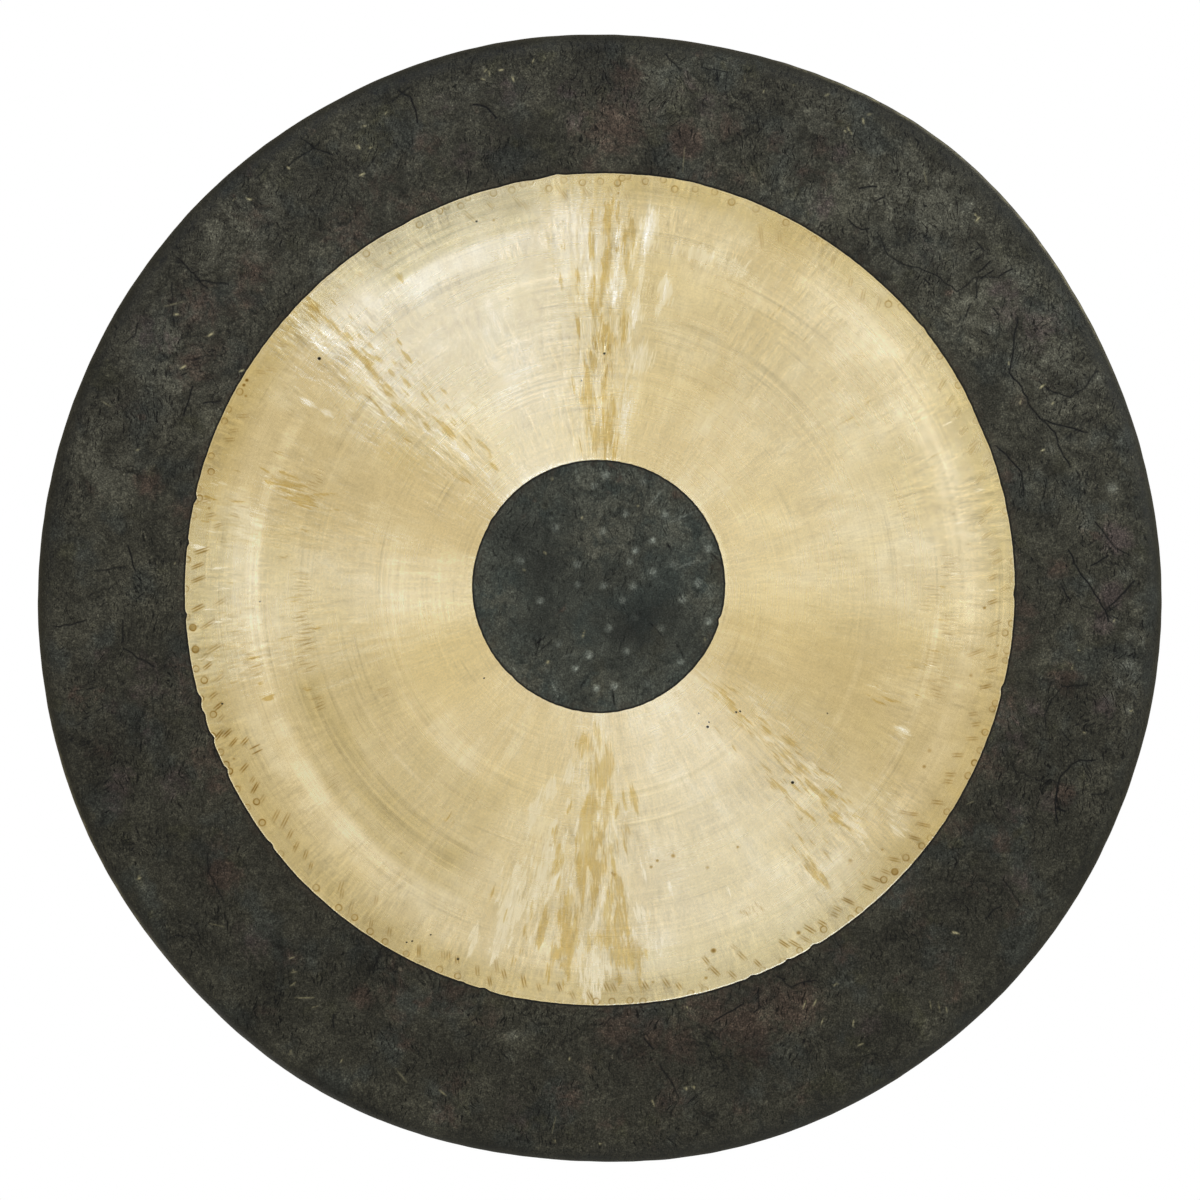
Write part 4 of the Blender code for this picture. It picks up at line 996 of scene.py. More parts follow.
    # Next to the scraped ring the scale is thick, a little brown, and along its cut edge near black: partly soot,
    # partly painted shade of the step down to the ring.
    edge_in, edge_out = t.attr("edge_in"), t.attr("edge_out")
    near = t.mul(t.ramp(edge_in, 1.0, 9.0, 1.0, 0.0), t.ramp(ragged, 0.42, 0.62))
    colour = t.mix(t.mul(near, 0.35), colour, (0.0450, 0.0310, 0.0200))
    lip = t.ramp(edge_in, 0.9, 1.9, 1.0, 0.0)
    colour = t.mix(t.mul(lip, 0.85), colour, (0.0055, 0.0050, 0.0042))
    # Painted shade: the scale darkens towards the shoulder, where the face turns away from the light.
    shoulder_shade = t.ramp(edge_out, 4.0, 26.0, 1.0, 0.0)
    colour = t.mix(t.mul(shoulder_shade, 0.74), colour, (0.0125, 0.0125, 0.0102))
    metal = t.mul(t.math("MULTIPLY", bare, 1.1, clamp=True), t.ramp(fine, 0.30, 0.52))
    colour = t.mix(metal, colour, (0.50, 0.44, 0.25))
    t.put(t.bsdf.inputs["Base Color"], colour)
    t.put(t.bsdf.inputs["Metallic"], t.mul(metal, 0.7))
    rough = t.add(t.centred(mid, 0.35), t.centred(fine, 0.25), t.mul(scuff_dark, 0.1), 0.62)
    rough = t.math("SUBTRACT", rough, t.add(t.mul(pale_and_sheen, 0.06), t.mul(metal, 0.15)))
    t.put(t.bsdf.inputs["Roughness"], rough)
    t.bsdf.inputs["Specular IOR Level"].default_value = 0.12
    height = t.add(t.mul(mid, 0.45), t.mul(fine, 0.28), t.mul(grain, 0.07), t.mul(scuff_dark, -0.13),
                   t.mul(craze, -0.16), t.mul(cloud, 0.3), t.mul(scuff_pale, 0.08))
    t.put(t.bsdf.inputs["Normal"], t.bump(height, 0.001))
    return t.mat


bronze = scraped_bronze("scraped_bronze_front", 1.0)
bronze_back = scraped_bronze("scraped_bronze_back", 6.0)
patina = black_scale("black_patina_front", 1.0)
patina_boss = black_scale("black_patina_boss", 3.0, 1.33, 0.74, (0.0780, 0.0820, 0.0680))
patina_back = black_scale("black_patina_back", 7.0)


# ---------------------------------------------------------------------------
# Face pieces: closed rings or discs between two outlines
# ---------------------------------------------------------------------------
def face_rows(span, step, first=(), last=()):
    """Shares across a zone, with thin rows at its ends given in millimetres."""
    a = [v for v in first]
    b = [span - v for v in last][::-1]
    lo, hi = (a[-1] if a else 0.0), (b[0] if b else span)
    n = max(2, int(round((hi - lo) / step)))
    mid = np.linspace(lo, hi, n + 1)
    rows = sorted(set(np.round(np.concatenate([[0.0], a, mid, b, [span]]), 6)))
    return np.array(rows) / span


def theta_of(col, cols):
    return col * (2.0 * math.pi / cols)


def annulus(name, inner, outer, cols, shares, depth_top, depth_low, relief, marks, material, fine_at=None,
            k=4, arc_rows=0, front=True, seam=None, sharp=35.0):
    """A closed ring of sheet between two outlines.

    depth_top and depth_low give the two skins' depths below the face's front
    surface. The top skin is the visible one. With arc_rows the sheet goes on
    over the shoulder to the top of the rim's wall. An outline named as seam
    only joins two pieces of one finish, and gets no edge of its own."""
    n_top = len(shares)
    s_list = list(shares)
    a_list = [0.0] * n_top
    if arc_rows:
        arcs = list(np.linspace(0.0, 1.0, arc_rows + 1)[1:])
        arcs = arcs[:-1] + [0.997] + [1.0]
        s_list += [1.0] * len(arcs)
        a_list += arcs
    n_skin = len(s_list)
    low_s, low_a = [], []
    if arc_rows:
        for v in (1.0, 0.6, 0.25):
            low_s.append(1.0)
            low_a.append(v)
    for v in np.linspace(1.0, 0.0, 5):
        low_s.append(float(v))
        low_a.append(0.0)
    stations_s = np.array(s_list + low_s)
    stations_a = np.array(a_list + low_a)
    skin = np.array([1.0] * n_skin + [0.0] * len(low_s))
    rows = len(stations_s)
    flags = None

    def locate(rc):
        row, col = rc[:, 0], rc[:, 1]
        idx = np.arange(rows + 1)
        s = np.interp(row, idx, np.append(stations_s, stations_s[0]))
        a = np.interp(row, idx, np.append(stations_a, stations_a[0]))
        th = theta_of(col, cols)
        xi, zi = inner(th)
        xo, zo = outer(th)
        x, z = xi + (xo - xi) * s, zi + (zo - zi) * s
        return row, s, a, th, x, z, np.hypot(xo - xi, zo - zi)

    if fine_at is not None:
        ii, jj = np.meshgrid(np.arange(rows), np.arange(cols), indexing="ij")
        centre_rc = np.stack([ii.ravel() + 0.5, jj.ravel() + 0.5], 1)
        _, _, _, _, cx, cz, _ = locate(centre_rc)
        flags = fine_at(cx, cz).reshape(rows, cols)
        flags[n_top - 2:] = False
        flags[0] = False
    rc, quads, frow, ngons, nrow = cell_grid(rows, cols, True, flags, k)
    row, s, a, th, x, z, width = locate(rc)
    is_skin = row < n_skin - 0.5
    on_face = a <= 0.0
    rho = np.hypot(x, z) / stretch(np.hypot(x, z), th)
    from_in = np.where(is_skin, s * width + a * 20.4, 50.0)
    from_out = np.where(is_skin, (1.0 - s) * width + (0.0 if arc_rows == 0 else 1.0) * (1.0 - a) * 20.4, 50.0)
    atts = {"edge_in": from_in * 0.0 + 60.0 if seam == "in" else from_in,
            "edge_out": from_out * 0.0 + 60.0 if seam == "out" else from_out}
    lift = np.zeros(len(x))
    skin_face = is_skin & on_face
    base_w = face_w(rho)
    lift[skin_face] = relief(x[skin_face], z[skin_face], base_w[skin_face])
    for key in marks["keys"]:
        atts[key] = np.zeros(len(x))
    got = marks["make"](x[skin_face], z[skin_face])
    lift[skin_face] -= got["depth"]
    for key in marks["keys"]:
        atts[key][skin_face] = got[key]
    depth = np.where(is_skin, depth_top(rho, s * width, (1.0 - s) * width), depth_low(rho))
    w = base_w - depth + lift - SETTLE * smooth(R_FACE, 60.0, rho) * (1.0 if front else 0.6)
    if arc_rows:
        arc = ~on_face
        alpha = 0.5 * math.pi * (1.0 - a[arc])
        t_here = T_BORDER + (T_RIM - T_BORDER) * a[arc]
        skin_arc = is_skin[arc]
        if front:
            dep = np.where(skin_arc, 0.0, t_here / 2.0)
        else:
            dep = np.where(skin_arc, t_here, t_here / 2.0)
        ov = oval(th[arc])
        bx, bz = (R_FACE + SHOULDER * np.cos(alpha)) * np.sin(th[arc]), (R_FACE + SHOULDER * np.cos(alpha)) * np.cos(th[arc])
        bw = WALL_TOP + SHOULDER * np.sin(alpha)
        bump_h = forged(bx, bz, bw) + hammered(bx, bz, bw) - 0.25
        bump_h = np.where(skin_arc, bump_h, 0.0)
        blend_in = np.minimum(a[arc] * 4.0, 1.0)
        # The face's own relief fades into the shoulder's.
        rad = (R_FACE + (SHOULDER - dep + bump_h * blend_in) * np.cos(alpha)) * ov
        hgt = WALL_TOP + (SHOULDER - dep) * np.sin(alpha) + bump_h * np.sin(alpha)
        x[arc], z[arc] = rad * np.sin(th[arc]), rad * np.cos(th[arc])
        w[arc] = hgt
        turned_skin = is_skin & ~on_face
        if "arc" in marks:
            for key, got in marks["arc"](th[turned_skin], a[turned_skin]).items():
                atts[key][turned_skin] = got
    co = to_world(x, z, w)

    frows = np.concatenate([frow, np.array(nrow, np.int64)]) if ngons else frow
    # Radius of each row in the flat layout: skin outside, hidden faces inside.
    lay = np.zeros(rows + 1)
    reach = rho_skin = None
    r_in = np.hypot(*inner(np.array([0.3]))).item()
    r_out = np.hypot(*outer(np.array([0.3]))).item()
    skin_r = r_in + (r_out - r_in) * stations_s[:n_skin] + 20.4 * stations_a[:n_skin]
    lay[:n_skin] = skin_r
    full = skin_r[-1] * 1.03
    hidden = np.linspace(0.92, 0.30, rows + 1 - (n_skin - 1)) * r_in

    def uv_of_corner(li, lt):
        face_row = np.repeat(frows, lt)
        is_top = face_row < n_skin - 1
        rr, cc = rc[li, 0], rc[li, 1]
        rr = np.where((face_row == rows - 1) & (rr < 0.5), rows, rr)
        th_c = theta_of(cc, cols)
        top_r = np.interp(rr, np.arange(n_skin), skin_r)
        hid_r = np.interp(rr - (n_skin - 1), np.arange(len(hidden)), hidden)
        r = np.where(is_top, top_r, hid_r)
        return np.stack([0.5 + 0.5 * r / full * np.sin(th_c), 0.5 + 0.5 * r / full * np.cos(th_c)], 1)

    if not front:
        quads = quads[:, ::-1]
        ngons = [p[::-1] for p in ngons]
    return make_piece(name, co, quads, ngons, uv_of_corner, atts, material, sharp=sharp)


def disc(name, outline, cols, shares, depth_top, depth_low, relief, marks, material, front=True):
    """A closed round plate: visible skin, side wall and hidden underside."""
    s_skin = list(shares)                 # from just off the middle to the edge
    s_low = list(np.linspace(1.0, 0.0, 5)[:-1])
    stations = np.array(s_skin + s_low)
    n_skin = len(s_skin)
    rows = len(stations) - 1
    rc, quads, frow, _, _ = cell_grid(rows, cols, False)
    s = np.interp(rc[:, 0], np.arange(rows + 1), stations)
    th = theta_of(rc[:, 1], cols)
    xo, zo = outline(th)
    cx, cz = outline(np.linspace(0.0, 2.0 * math.pi, 720, endpoint=False))
    cx, cz = cx.mean(), cz.mean()
    x, z = cx + (xo - cx) * s, cz + (zo - cz) * s
    x, z = np.append(x, [cx, cx]), np.append(z, [cz, cz])
    s = np.append(s, [0.0, 0.0])
    is_skin = np.append(rc[:, 0] < n_skin - 0.5, [True, False])
    width = np.append(np.hypot(xo - cx, zo - cz), [91.0, 91.0])
    rho = np.hypot(x, z)
    n = len(x)
    top_pole, low_pole = n - 2, n - 1
    first, last = np.arange(cols), rows * cols + np.arange(cols)
    caps = np.concatenate([np.stack([np.full(cols, top_pole), np.roll(first, -1), first], 1),
                           np.stack([np.full(cols, low_pole), last, np.roll(last, -1)], 1)])
    atts = {"edge_in": np.where(is_skin, (1.0 - s) * width, 50.0), "edge_out": np.full(n, 50.0)}
    lift = np.zeros(n)
    base_w = face_w(rho)
    lift[is_skin] = relief(x[is_skin], z[is_skin], base_w[is_skin])
    got = marks["make"](x[is_skin], z[is_skin])
    lift[is_skin] -= got["depth"]
    for key in marks["keys"]:
        atts[key] = np.zeros(n)
        atts[key][is_skin] = got[key]
    depth = np.where(is_skin, depth_top(rho, (1.0 - s) * width), depth_low(rho))
    w = base_w - depth + lift - SETTLE * smooth(R_FACE, 60.0, rho) * (1.0 if front else 0.6)
    co = to_world(x, z, w)
    row_full = np.append(rc[:, 0], [0.0, rows])
    th_full = np.append(th, [0.0, 0.0])

    def uv_of_corner(li, lt):
        face_row = np.repeat(np.concatenate([frow, np.zeros(cols, np.int64), np.full(cols, rows, np.int64)]), lt)
        is_top = face_row < n_skin - 1
        r = s[li]
        u = np.where(is_top, 0.5 + 0.485 * r * np.sin(th_full[li]), 0.07 + 0.06 * r * np.sin(th_full[li]))
        v = np.where(is_top, 0.5 + 0.485 * r * np.cos(th_full[li]), 0.07 + 0.06 * r * np.cos(th_full[li]))
        return np.stack([u, v], 1)

    if not front:
        quads, caps = quads[:, ::-1], caps[:, ::-1]
    return make_piece(name, co, quads, [], uv_of_corner, atts, material, caps=caps)


def cells_near(points, lines):
    """A test for cells whose middle lies near a mark."""
    def test(x, z):
        hit = np.zeros(len(x), bool)
        for cx, cz, rad in points:
            hit |= (np.abs(x - cx) < rad) & (np.abs(z - cz) < rad) & (np.hypot(x - cx, z - cz) < rad)
        for ends, reach in lines:
            for idx, _, _ in near_segments(x, z, ends, reach):
                hit[idx] = True
        return hit
    return test


def mid_depth(rho):
    return thickness(rho) / 2.0


def back_depth(rho):
    return thickness(rho)


# The scraper took a little off the ring, and left a burr along the border.
def ring_depth(rho, from_in, from_out):
    cut = 0.26 * smooth(0.0, 0.8, from_out) * smooth(0.0, 0.6, from_in)
    return 0.03 + cut


TURN = Noise(91)
RIPPLE = [Noise(201 + i) for i in range(4)]

# Flame-shaped facets where the sheet leans a little round the axis: column and
# row of the 1200 px view, half width and half length in px, lean.
RING_FLAMES = [
    (592, 225, 3.5, 17, -.05), (608, 257, 6, 32, -.06), (630, 236, 7, 38, -.05), (624, 326, 7, 26, -.05), (606, 340, 16, 22, -.045),
    (595, 305, 8, 26, -.035), (578, 323, 2.5, 16, -.06), (589, 400, 11, 28, -.05), (607, 436, 13, 32, -.05), (561, 281, 2.5, 10, -.08),
    (650, 228, 12, 28, .075), (616, 286, 13, 26, .05), (636, 307, 10, 22, .06), (640, 357, 16, 18, .055), (624, 410, 12, 24, .05),
    (699, 254, 16, 11, -.07), (731, 266, 18, 9, -.07), (616, 332, 5, 4, .05), (665, 290, 8, 20, .07),
    (599, 732, 7, 34, .05), (602, 761, 5, 26, .05), (569, 774, 5, 18, .08), (535, 812, 7, 24, .10), (551, 790, 6, 13, .09),
    (585, 831, 9, 26, .06), (612, 838, 9, 38, .04), (551, 857, 7, 20, .09), (535, 892, 9, 34, .10), (510, 908, 13, 50, .11),
    (593, 966, 20, 34, .055), (562, 873, 4, 24, .08), (650, 950, 14, 18, .03), (640, 915, 10, 20, .03),
    (610, 758, 5, 18, -.05), (634, 802, 5, 18, -.06), (626, 831, 4, 18, -.055), (604, 857, 8, 24, -.03), (620, 905, 8, 34, -.05),
    (606, 937, 16, 22, -.045), (631, 956, 20, 20, -.055), (625, 800, 4, 14, -.05),
    (400, 277, 2.5, 8, .12), (333, 327, 5, 14, .05), (347, 340, 4, 14, .05), (357, 353, 5, 15, .055), (407, 357, 2.5, 9, .08),
    (373, 373, 5, 14, .05), (387, 390, 6, 15, .05), (400, 410, 5, 14, .05), (407, 383, 3, 8, .07), (427, 427, 3, 8, .05),
    (447, 430, 5, 12, .06), (313, 307, 8, 14, .05), (350, 387, 4, 12, .03), (368, 361, 3, 12, .06),
    (303, 330, 5, 12, -.04), (320, 347, 5, 13, -.04), (343, 377, 4, 13, -.04), (360, 397, 4, 16, -.045), (380, 417, 4, 14, -.045),
    (307, 403, 6, 9, -.09), (413, 433, 3, 14, -.04), (437, 453, 3, 10, -.04), (467, 460, 3, 10, -.04), (490, 473, 3, 9, -.03),
    (327, 413, 5, 7, -.07), (288, 487, 14, 22, .05), (303, 500, 9, 20, .05), (270, 483, 3, 6, .08), (270, 698, 3, 7, .09),
    (753, 698, 3, 9, -.06), (783, 743, 3, 16, -.05), (813, 770, 4, 20, -.06), (823, 777, 3, 14, -.07), (853, 813, 6, 18, -.06),
    (903, 730, 6, 8, -.15), (717, 682, 2, 10, -.04), (897, 830, 4, 12, -.07), (767, 767, 4, 12, .05), (780, 787, 5, 14, .05),
    (810, 817, 6, 12, .06), (787, 823, 3, 12, .06), (810, 867, 6, 30, .08), (823, 880, 5, 16, .08), (727, 717, 5, 8, .04),
    (930, 666, 7, 12, .06), (962, 640, 5, 12, .06), (938, 622, 5, 14, .05), (905, 655, 8, 12, .04), (880, 690, 8, 16, .05)]
ring_flames, ring_shades = [], []
for c, r, half_w, half_l, lean in RING_FLAMES:
    fx, fz = view_px(c, r)
    ring_flames.append((float(fx), float(fz), half_w * PX, half_l * PX, lean * 1.5))
    # Each facet also gets painted shade where it leans away from the lit side, and a painted highlight where it leans
    # toward it.
    clock = math.degrees(math.atan2(c - 600, 590 - r)) % 360.0
    turned_over = 15.0 < clock < 60.0 or 95.0 < clock < 150.0 or 225.0 < clock < 330.0
    shade = min(1.0, abs(lean) * 13.0) * (-1.0 if (lean > 0.0) == turned_over else 1.0)
    if 88.0 < clock < 112.0:
        shade *= 0.4
    elif 112.0 <= clock < 150.0 and shade < 0.0:
        shade *= 0.6
    ring_shades.append((float(fx), float(fz), half_w * PX, half_l * PX, 0.0, shade))
# Runs of small painted streaks of highlight and shade: column and row of both ends, how many, spread across the run,
# half width and half length in px, shade (- painted browner shade, + painted paler highlight).
FLAME_RUNS = [
    (606, 200, 597, 300, 12, 8, 3.2, 13, -.80), (603, 300, 603, 455, 18, 10, 3.4, 13, -.85), (588, 345, 590, 450, 7, 7, 2.2, 10, -.55),
    (612, 190, 616, 260, 6, 6, 3.0, 12, -.70), (638, 205, 642, 320, 14, 17, 3.4, 14, .75), (624, 320, 620, 440, 10, 9, 2.5, 11, .65),
    (660, 230, 668, 330, 6, 12, 3.0, 11, .35), (575, 235, 578, 300, 5, 9, 2.0, 9, -.45),
    (598, 722, 606, 800, 10, 7, 2.5, 11, -.70), (606, 800, 613, 992, 24, 13, 3.4, 14, -.85), (575, 800, 566, 975, 12, 13, 3.0, 12, -.65),
    (587, 755, 560, 900, 14, 14, 2.9, 13, .80), (545, 845, 500, 960, 16, 15, 3.4, 16, .85), (590, 890, 585, 998, 14, 14, 3.8, 15, .85),
    (640, 830, 646, 985, 10, 12, 2.8, 12, .50), (612, 760, 616, 850, 8, 8, 2.4, 10, .55), (520, 890, 505, 975, 7, 12, 3.2, 13, -.55),
    (304, 296, 500, 460, 34, 6, 1.9, 9, -.80), (326, 298, 476, 412, 16, 9, 1.6, 8, -.60), (288, 316, 494, 482, 26, 4, 2.0, 10, .90),
    (300, 290, 420, 385, 10, 5, 1.8, 9, .60), (346, 418, 470, 500, 7, 8, 2.0, 7, .45), (275, 300, 330, 350, 8, 8, 2.4, 9, -.40),
    (706, 682, 846, 824, 30, 5, 3.4, 14, -.58), (724, 690, 852, 806, 12, 9, 6.0, 22, -.42), (700, 678, 880, 850, 20, 3, 1.7, 11, .80),
    (778, 738, 832, 786, 7, 3, 2.2, 13, .95), (750, 700, 790, 742, 5, 4, 1.8, 9, .70), (760, 772, 802, 812, 9, 6, 2.2, 9, -.60),
    (722, 722, 862, 862, 14, 8, 1.6, 10, -.40), (792, 820, 862, 884, 7, 10, 2.2, 13, -.38), (282, 330, 470, 486, 12, 4, 4.5, 16, -.34),
    (592, 740, 580, 965, 16, 9, 7.5, 24, -.78), (606, 780, 608, 960, 9, 6, 5.0, 22, -.80), (560, 850, 545, 965, 8, 12, 6.5, 22, -.62),
    (215, 470, 228, 560, 10, 20, 2.0, 14, .42), (215, 470, 228, 560, 9, 20, 1.8, 13, -.38),
    (232, 560, 250, 700, 13, 20, 2.0, 14, .42), (236, 560, 254, 700, 12, 20, 1.8, 13, -.38), (290, 540, 300, 660, 10, 20, 1.8, 12, -.34),
    (340, 480, 350, 560, 7, 18, 2.0, 12, -.30), (930, 440, 965, 600, 16, 24, 1.8, 14, .34), (930, 440, 965, 600, 16, 24, 1.6, 13, -.34),
    (860, 380, 890, 460, 8, 20, 1.8, 12, -.28), (690, 250, 840, 330, 14, 14, 2.6, 9, .40), (700, 262, 830, 340, 10, 12, 2.0, 9, -.30),
    (420, 330, 520, 240, 8, 20, 1.6, 7, -.22), (660, 800, 780, 900, 9, 26, 1.5, 7, -.25),
    (880, 800, 915, 828, 6, 8, 2.2, 9, .50), (800, 770, 870, 820, 8, 8, 2.0, 9, -.50),
    (262, 470, 336, 512, 14, 11, 2.6, 9, -.55), (250, 640, 300, 700, 8, 12, 2.6, 8, -.40), (300, 590, 330, 640, 5, 10, 2.4, 8, -.30),
    (878, 705, 962, 640, 10, 12, 2.6, 9, -.40), (940, 470, 955, 560, 8, 14, 2.4, 10, .35), (905, 380, 930, 450, 5, 12, 2.4, 9, .30),
    (225, 560, 245, 640, 6, 12, 2.6, 9, .40), (480, 780, 440, 830, 5, 14, 2.4, 9, -.25), (760, 880, 700, 930, 6, 14, 2.2, 10, .30)]
flame_rng = np.random.default_rng(4242)
for c0, r0, c1, r1, n, spread, half_w, half_l, shade in FLAME_RUNS:
    long_ = math.hypot(c1 - c0, r1 - r0)
    for i in range(n):
        t = (i + 0.5 + 0.9 * (flame_rng.random() - 0.5)) / n
        off = spread * flame_rng.normal()
        fx, fz = view_px(c0 + (c1 - c0) * t + (r1 - r0) / long_ * off, r0 + (r1 - r0) * t - (c1 - c0) / long_ * off)
        ring_shades.append((float(fx), float(fz), half_w * PX * (0.6 + 0.8 * flame_rng.random()), half_l * PX * (0.5 + flame_rng.random()),
                            math.radians(9.0) * flame_rng.normal(), shade * (0.7 + 0.5 * flame_rng.random())))
# Where the blade chattered most, where the chatter also carries painted light and dark streaks: column, row, radius in
# px, strength.
RIPPLE_SPOTS = [
    (605, 235, 40, .9), (605, 290, 36, .9), (600, 345, 36, 1.1), (600, 400, 36, 1.), (600, 440, 30, .9),
    (598, 740, 30, .9), (600, 790, 34, 1.), (595, 840, 40, 1.1), (585, 895, 48, 1.1), (590, 950, 50, 1.), (545, 850, 34, .8), (530, 905, 34, .9),
    (300, 320, 26, 1.), (335, 350, 30, 1.1), (370, 385, 32, 1.2), (405, 415, 30, 1.1), (440, 440, 26, 1.), (475, 465, 20, .8),
    (760, 720, 18, .7), (790, 765, 26, .9), (820, 800, 28, 1.), (855, 830, 30, .9), (800, 850, 28, .7), (890, 810, 24, .7),
    (930, 480, 50, .5), (960, 600, 50, .6), (930, 650, 40, .6), (900, 700, 40, .4), (230, 620, 40, .7), (305, 610, 34, .7),
    (300, 480, 40, .6), (250, 660, 30, .7), (760, 330, 50, .3), (690, 260, 50, .4), (870, 420, 50, .3), (240, 430, 40, .3)]
ripple_spots = [(*map(float, view_px(c, r)), rad * PX, s) for c, r, rad, s in RIPPLE_SPOTS]
# Lanes lighter (+) or browner (-): narrow ones that the scraper left, and broad ones that are partly painted light and
# painted shade over whole sectors. Clock angles from and to, radii from and to in px, strength.
RING_LANES_AND_SHADE = [(214, 301, 341, 353, .42), (216, 300, 341, 376, .26), (224, 250, 344, 358, .16), (113, 131, 150, 360, -.34), (240, 257, 140, 370, -.15), (60, 92, 368, 415, -.40), (322, 352, 368, 415, -1.05),
              (126, 182, 364, 415, -.40), (208, 284, 368, 415, -.35), (28, 128, 366, 412, .30), (203, 255, 225, 336, -.42),
              (256, 286, 130, 220, .40), (256, 284, 356, 390, -.30), (206, 226, 300, 345, -.2), (204, 263, 288, 318, -.45), (219, 248, 260.5, 263.5, .6),
              (92, 129, 336, 341, .55), (96, 125, 329, 333, .30), (100, 124, 268, 272, .30), (308, 357, 318, 345, -.20),
              (312, 356, 262, 279, -.16), (130, 172, 300, 322, -.14), (133, 175, 236, 240, -.35), (140, 178, 205, 208, -.35),
              (28, 70, 345, 372, .22), (18, 52, 322, 345, .30), (232, 288, 214, 217, -.3), (262, 292, 226, 246, .18),
              (128, 170, 284, 287, -.30), (186, 240, 330, 338, -.20), (60, 100, 352, 376, .25), (330, 350, 224, 228, -.2)]


def lanes_and_shade(x, z):
    rx, rz = x - RING_AT[0], z - RING_AT[1]
    rho, deg = np.hypot(rx, rz) / PX * 1.0055, np.degrees(np.arctan2(rx, rz)) % 360.0
    wob = 0.9 * TURN(3.0 * np.sin(np.radians(deg)), 3.0 * np.cos(np.radians(deg)), 2.5 + 0.0 * deg)
    out = np.zeros_like(x)
    for a0, a1, r0, r1, s in RING_LANES_AND_SHADE:
        soft = min(3.0, (r1 - r0) * 0.3)
        across = smooth(r0 - soft, r0 + soft, rho + wob) * smooth(r1 + soft, r1 - soft, rho + wob)
        along = smooth(a0 - 2.0, a0 + 5.0, deg) * smooth(a1 + 2.0, a1 - 5.0, deg)
        out += s * across * along
    return out


def flame_lift(x, z):
    """Height of the leaning facets: each rises across its width and dies away."""
    out = np.zeros_like(x)
    for cx, cz, wide, long_, lean in ring_flames:
        reach = 3.0 * max(wide, long_)
        idx = np.nonzero((np.abs(x - cx) < reach) & (np.abs(z - cz) < reach))[0]
        if len(idx) == 0:
            continue
        a = math.atan2(cx - RING_AT[0], cz - RING_AT[1])
        dx, dz = x[idx] - cx, z[idx] - cz
        round_ = dx * math.cos(a) - dz * math.sin(a)
        out_ = dx * math.sin(a) + dz * math.cos(a)
        out[idx] += lean * round_ * np.exp(-(round_ / wide) ** 2 - (out_ / long_) ** 2)
    return out


def flame_shades(x, z):
    """Painted highlight and painted shade of the leaning facets and streaks: how far each is paler or browner than the
    sheet around.
    """
    pale, painted_brown_shade = np.zeros_like(x), np.zeros_like(x)
    for cx, cz, wide, long_, lean, shade in ring_shades:
        reach = 2.2 * max(wide, long_)
        idx = np.nonzero((np.abs(x - cx) < reach) & (np.abs(z - cz) < reach))[0]
        if len(idx) == 0:
            continue
        a = math.atan2(cx - RING_AT[0], cz - RING_AT[1]) + lean
        dx, dz = x[idx] - cx, z[idx] - cz
        round_ = dx * math.cos(a) - dz * math.sin(a)
        out_ = dx * math.sin(a) + dz * math.cos(a)
        # Pointed at both ends, and a little bent.
        narrow = wide * np.clip(1.0 - 0.45 * np.abs(out_ / long_), 0.25, 1.0)
        q = ((round_ - 0.12 * wide * (out_ / long_) ** 2) / narrow) ** 2 + (out_ / long_) ** 2
        field = abs(shade) * np.exp(-q ** 1.3)
        target = pale if shade > 0.0 else painted_brown_shade
        target[idx] = np.maximum(target[idx], field)
    return pale, painted_brown_shade


def ring_relief(x, z, w):
    """Scraped ring: hammer waves softened, shallow turned steps and chatter."""
    d = forged(x, z, w) + 0.35 * hammered(x, z, w)
    rx, rz = x - RING_AT[0], z - RING_AT[1]
    rho, th = np.hypot(rx, rz), np.arctan2(rx, rz)
    wob = 1.2 * TURN(2.0 * np.sin(th), 2.0 * np.cos(th), 0.5 + 0.0 * th)
    d += 0.05 * np.exp(-((rho + wob - 245.0) / 9.0) ** 2)
    # The blade's ripples: crests run along the radius, in bundles.
    s, c = np.sin(th), np.cos(th)
    bundle = smooth(-0.25, 0.45, RIPPLE[3](5.0 * s, 5.0 * c, rho / 30.0))
    broad = RIPPLE[0](13.0 * s, 13.0 * c, rho / 52.0)
    streak = RIPPLE[1](27.0 * s, 27.0 * c, 3.0 + rho / 34.0)
    narrow = RIPPLE[2](62.0 * s, 62.0 * c, 8.0 + rho / 17.0)
    d += (0.26 * broad + 0.17 * streak * (0.35 + 0.65 * bundle) + 0.065 * narrow * (0.15 + 0.85 * bundle)) * smooth(88.0, 130.0, rho) \
        * smooth(300.0, 285.0, rho)
    return d + flame_lift(x, z) * smooth(88.0, 98.0, rho) * smooth(300.0, 294.0, rho)


def back_ring_relief(x, z, w):
    return forged(x, z, w) + 0.35 * hammered(x, z, w)


def ring_mark_maker(x, z):
    depth, dark, pit = ring_marks(x, z)
    rip = 0.22 + blob(x, z, ripple_spots, lambda i: i[3])
    glow, dusk = flame_shades(x, z)
    return {"depth": depth, "mark": dark, "pit": pit, "rip": rip, "lane": lanes_and_shade(x, z), "glow": glow, "dusk": dusk}


def black_relief(x, z, w):
    return forged(x, z, w) + hammered(x, z, w) - dish(x, z, hammer_dimples, lambda i: i[3])


def border_mark_maker(x, z):
    depth, dark, bare, pale, rust, plum, worn = border_marks(x, z)
    depth = depth + dish(x, z, border_dimples, lambda i: 0.16)
    return {"depth": depth, "mark": dark, "bare": bare, "pale": pale, "rust": rust, "plum": plum, "worn": worn}


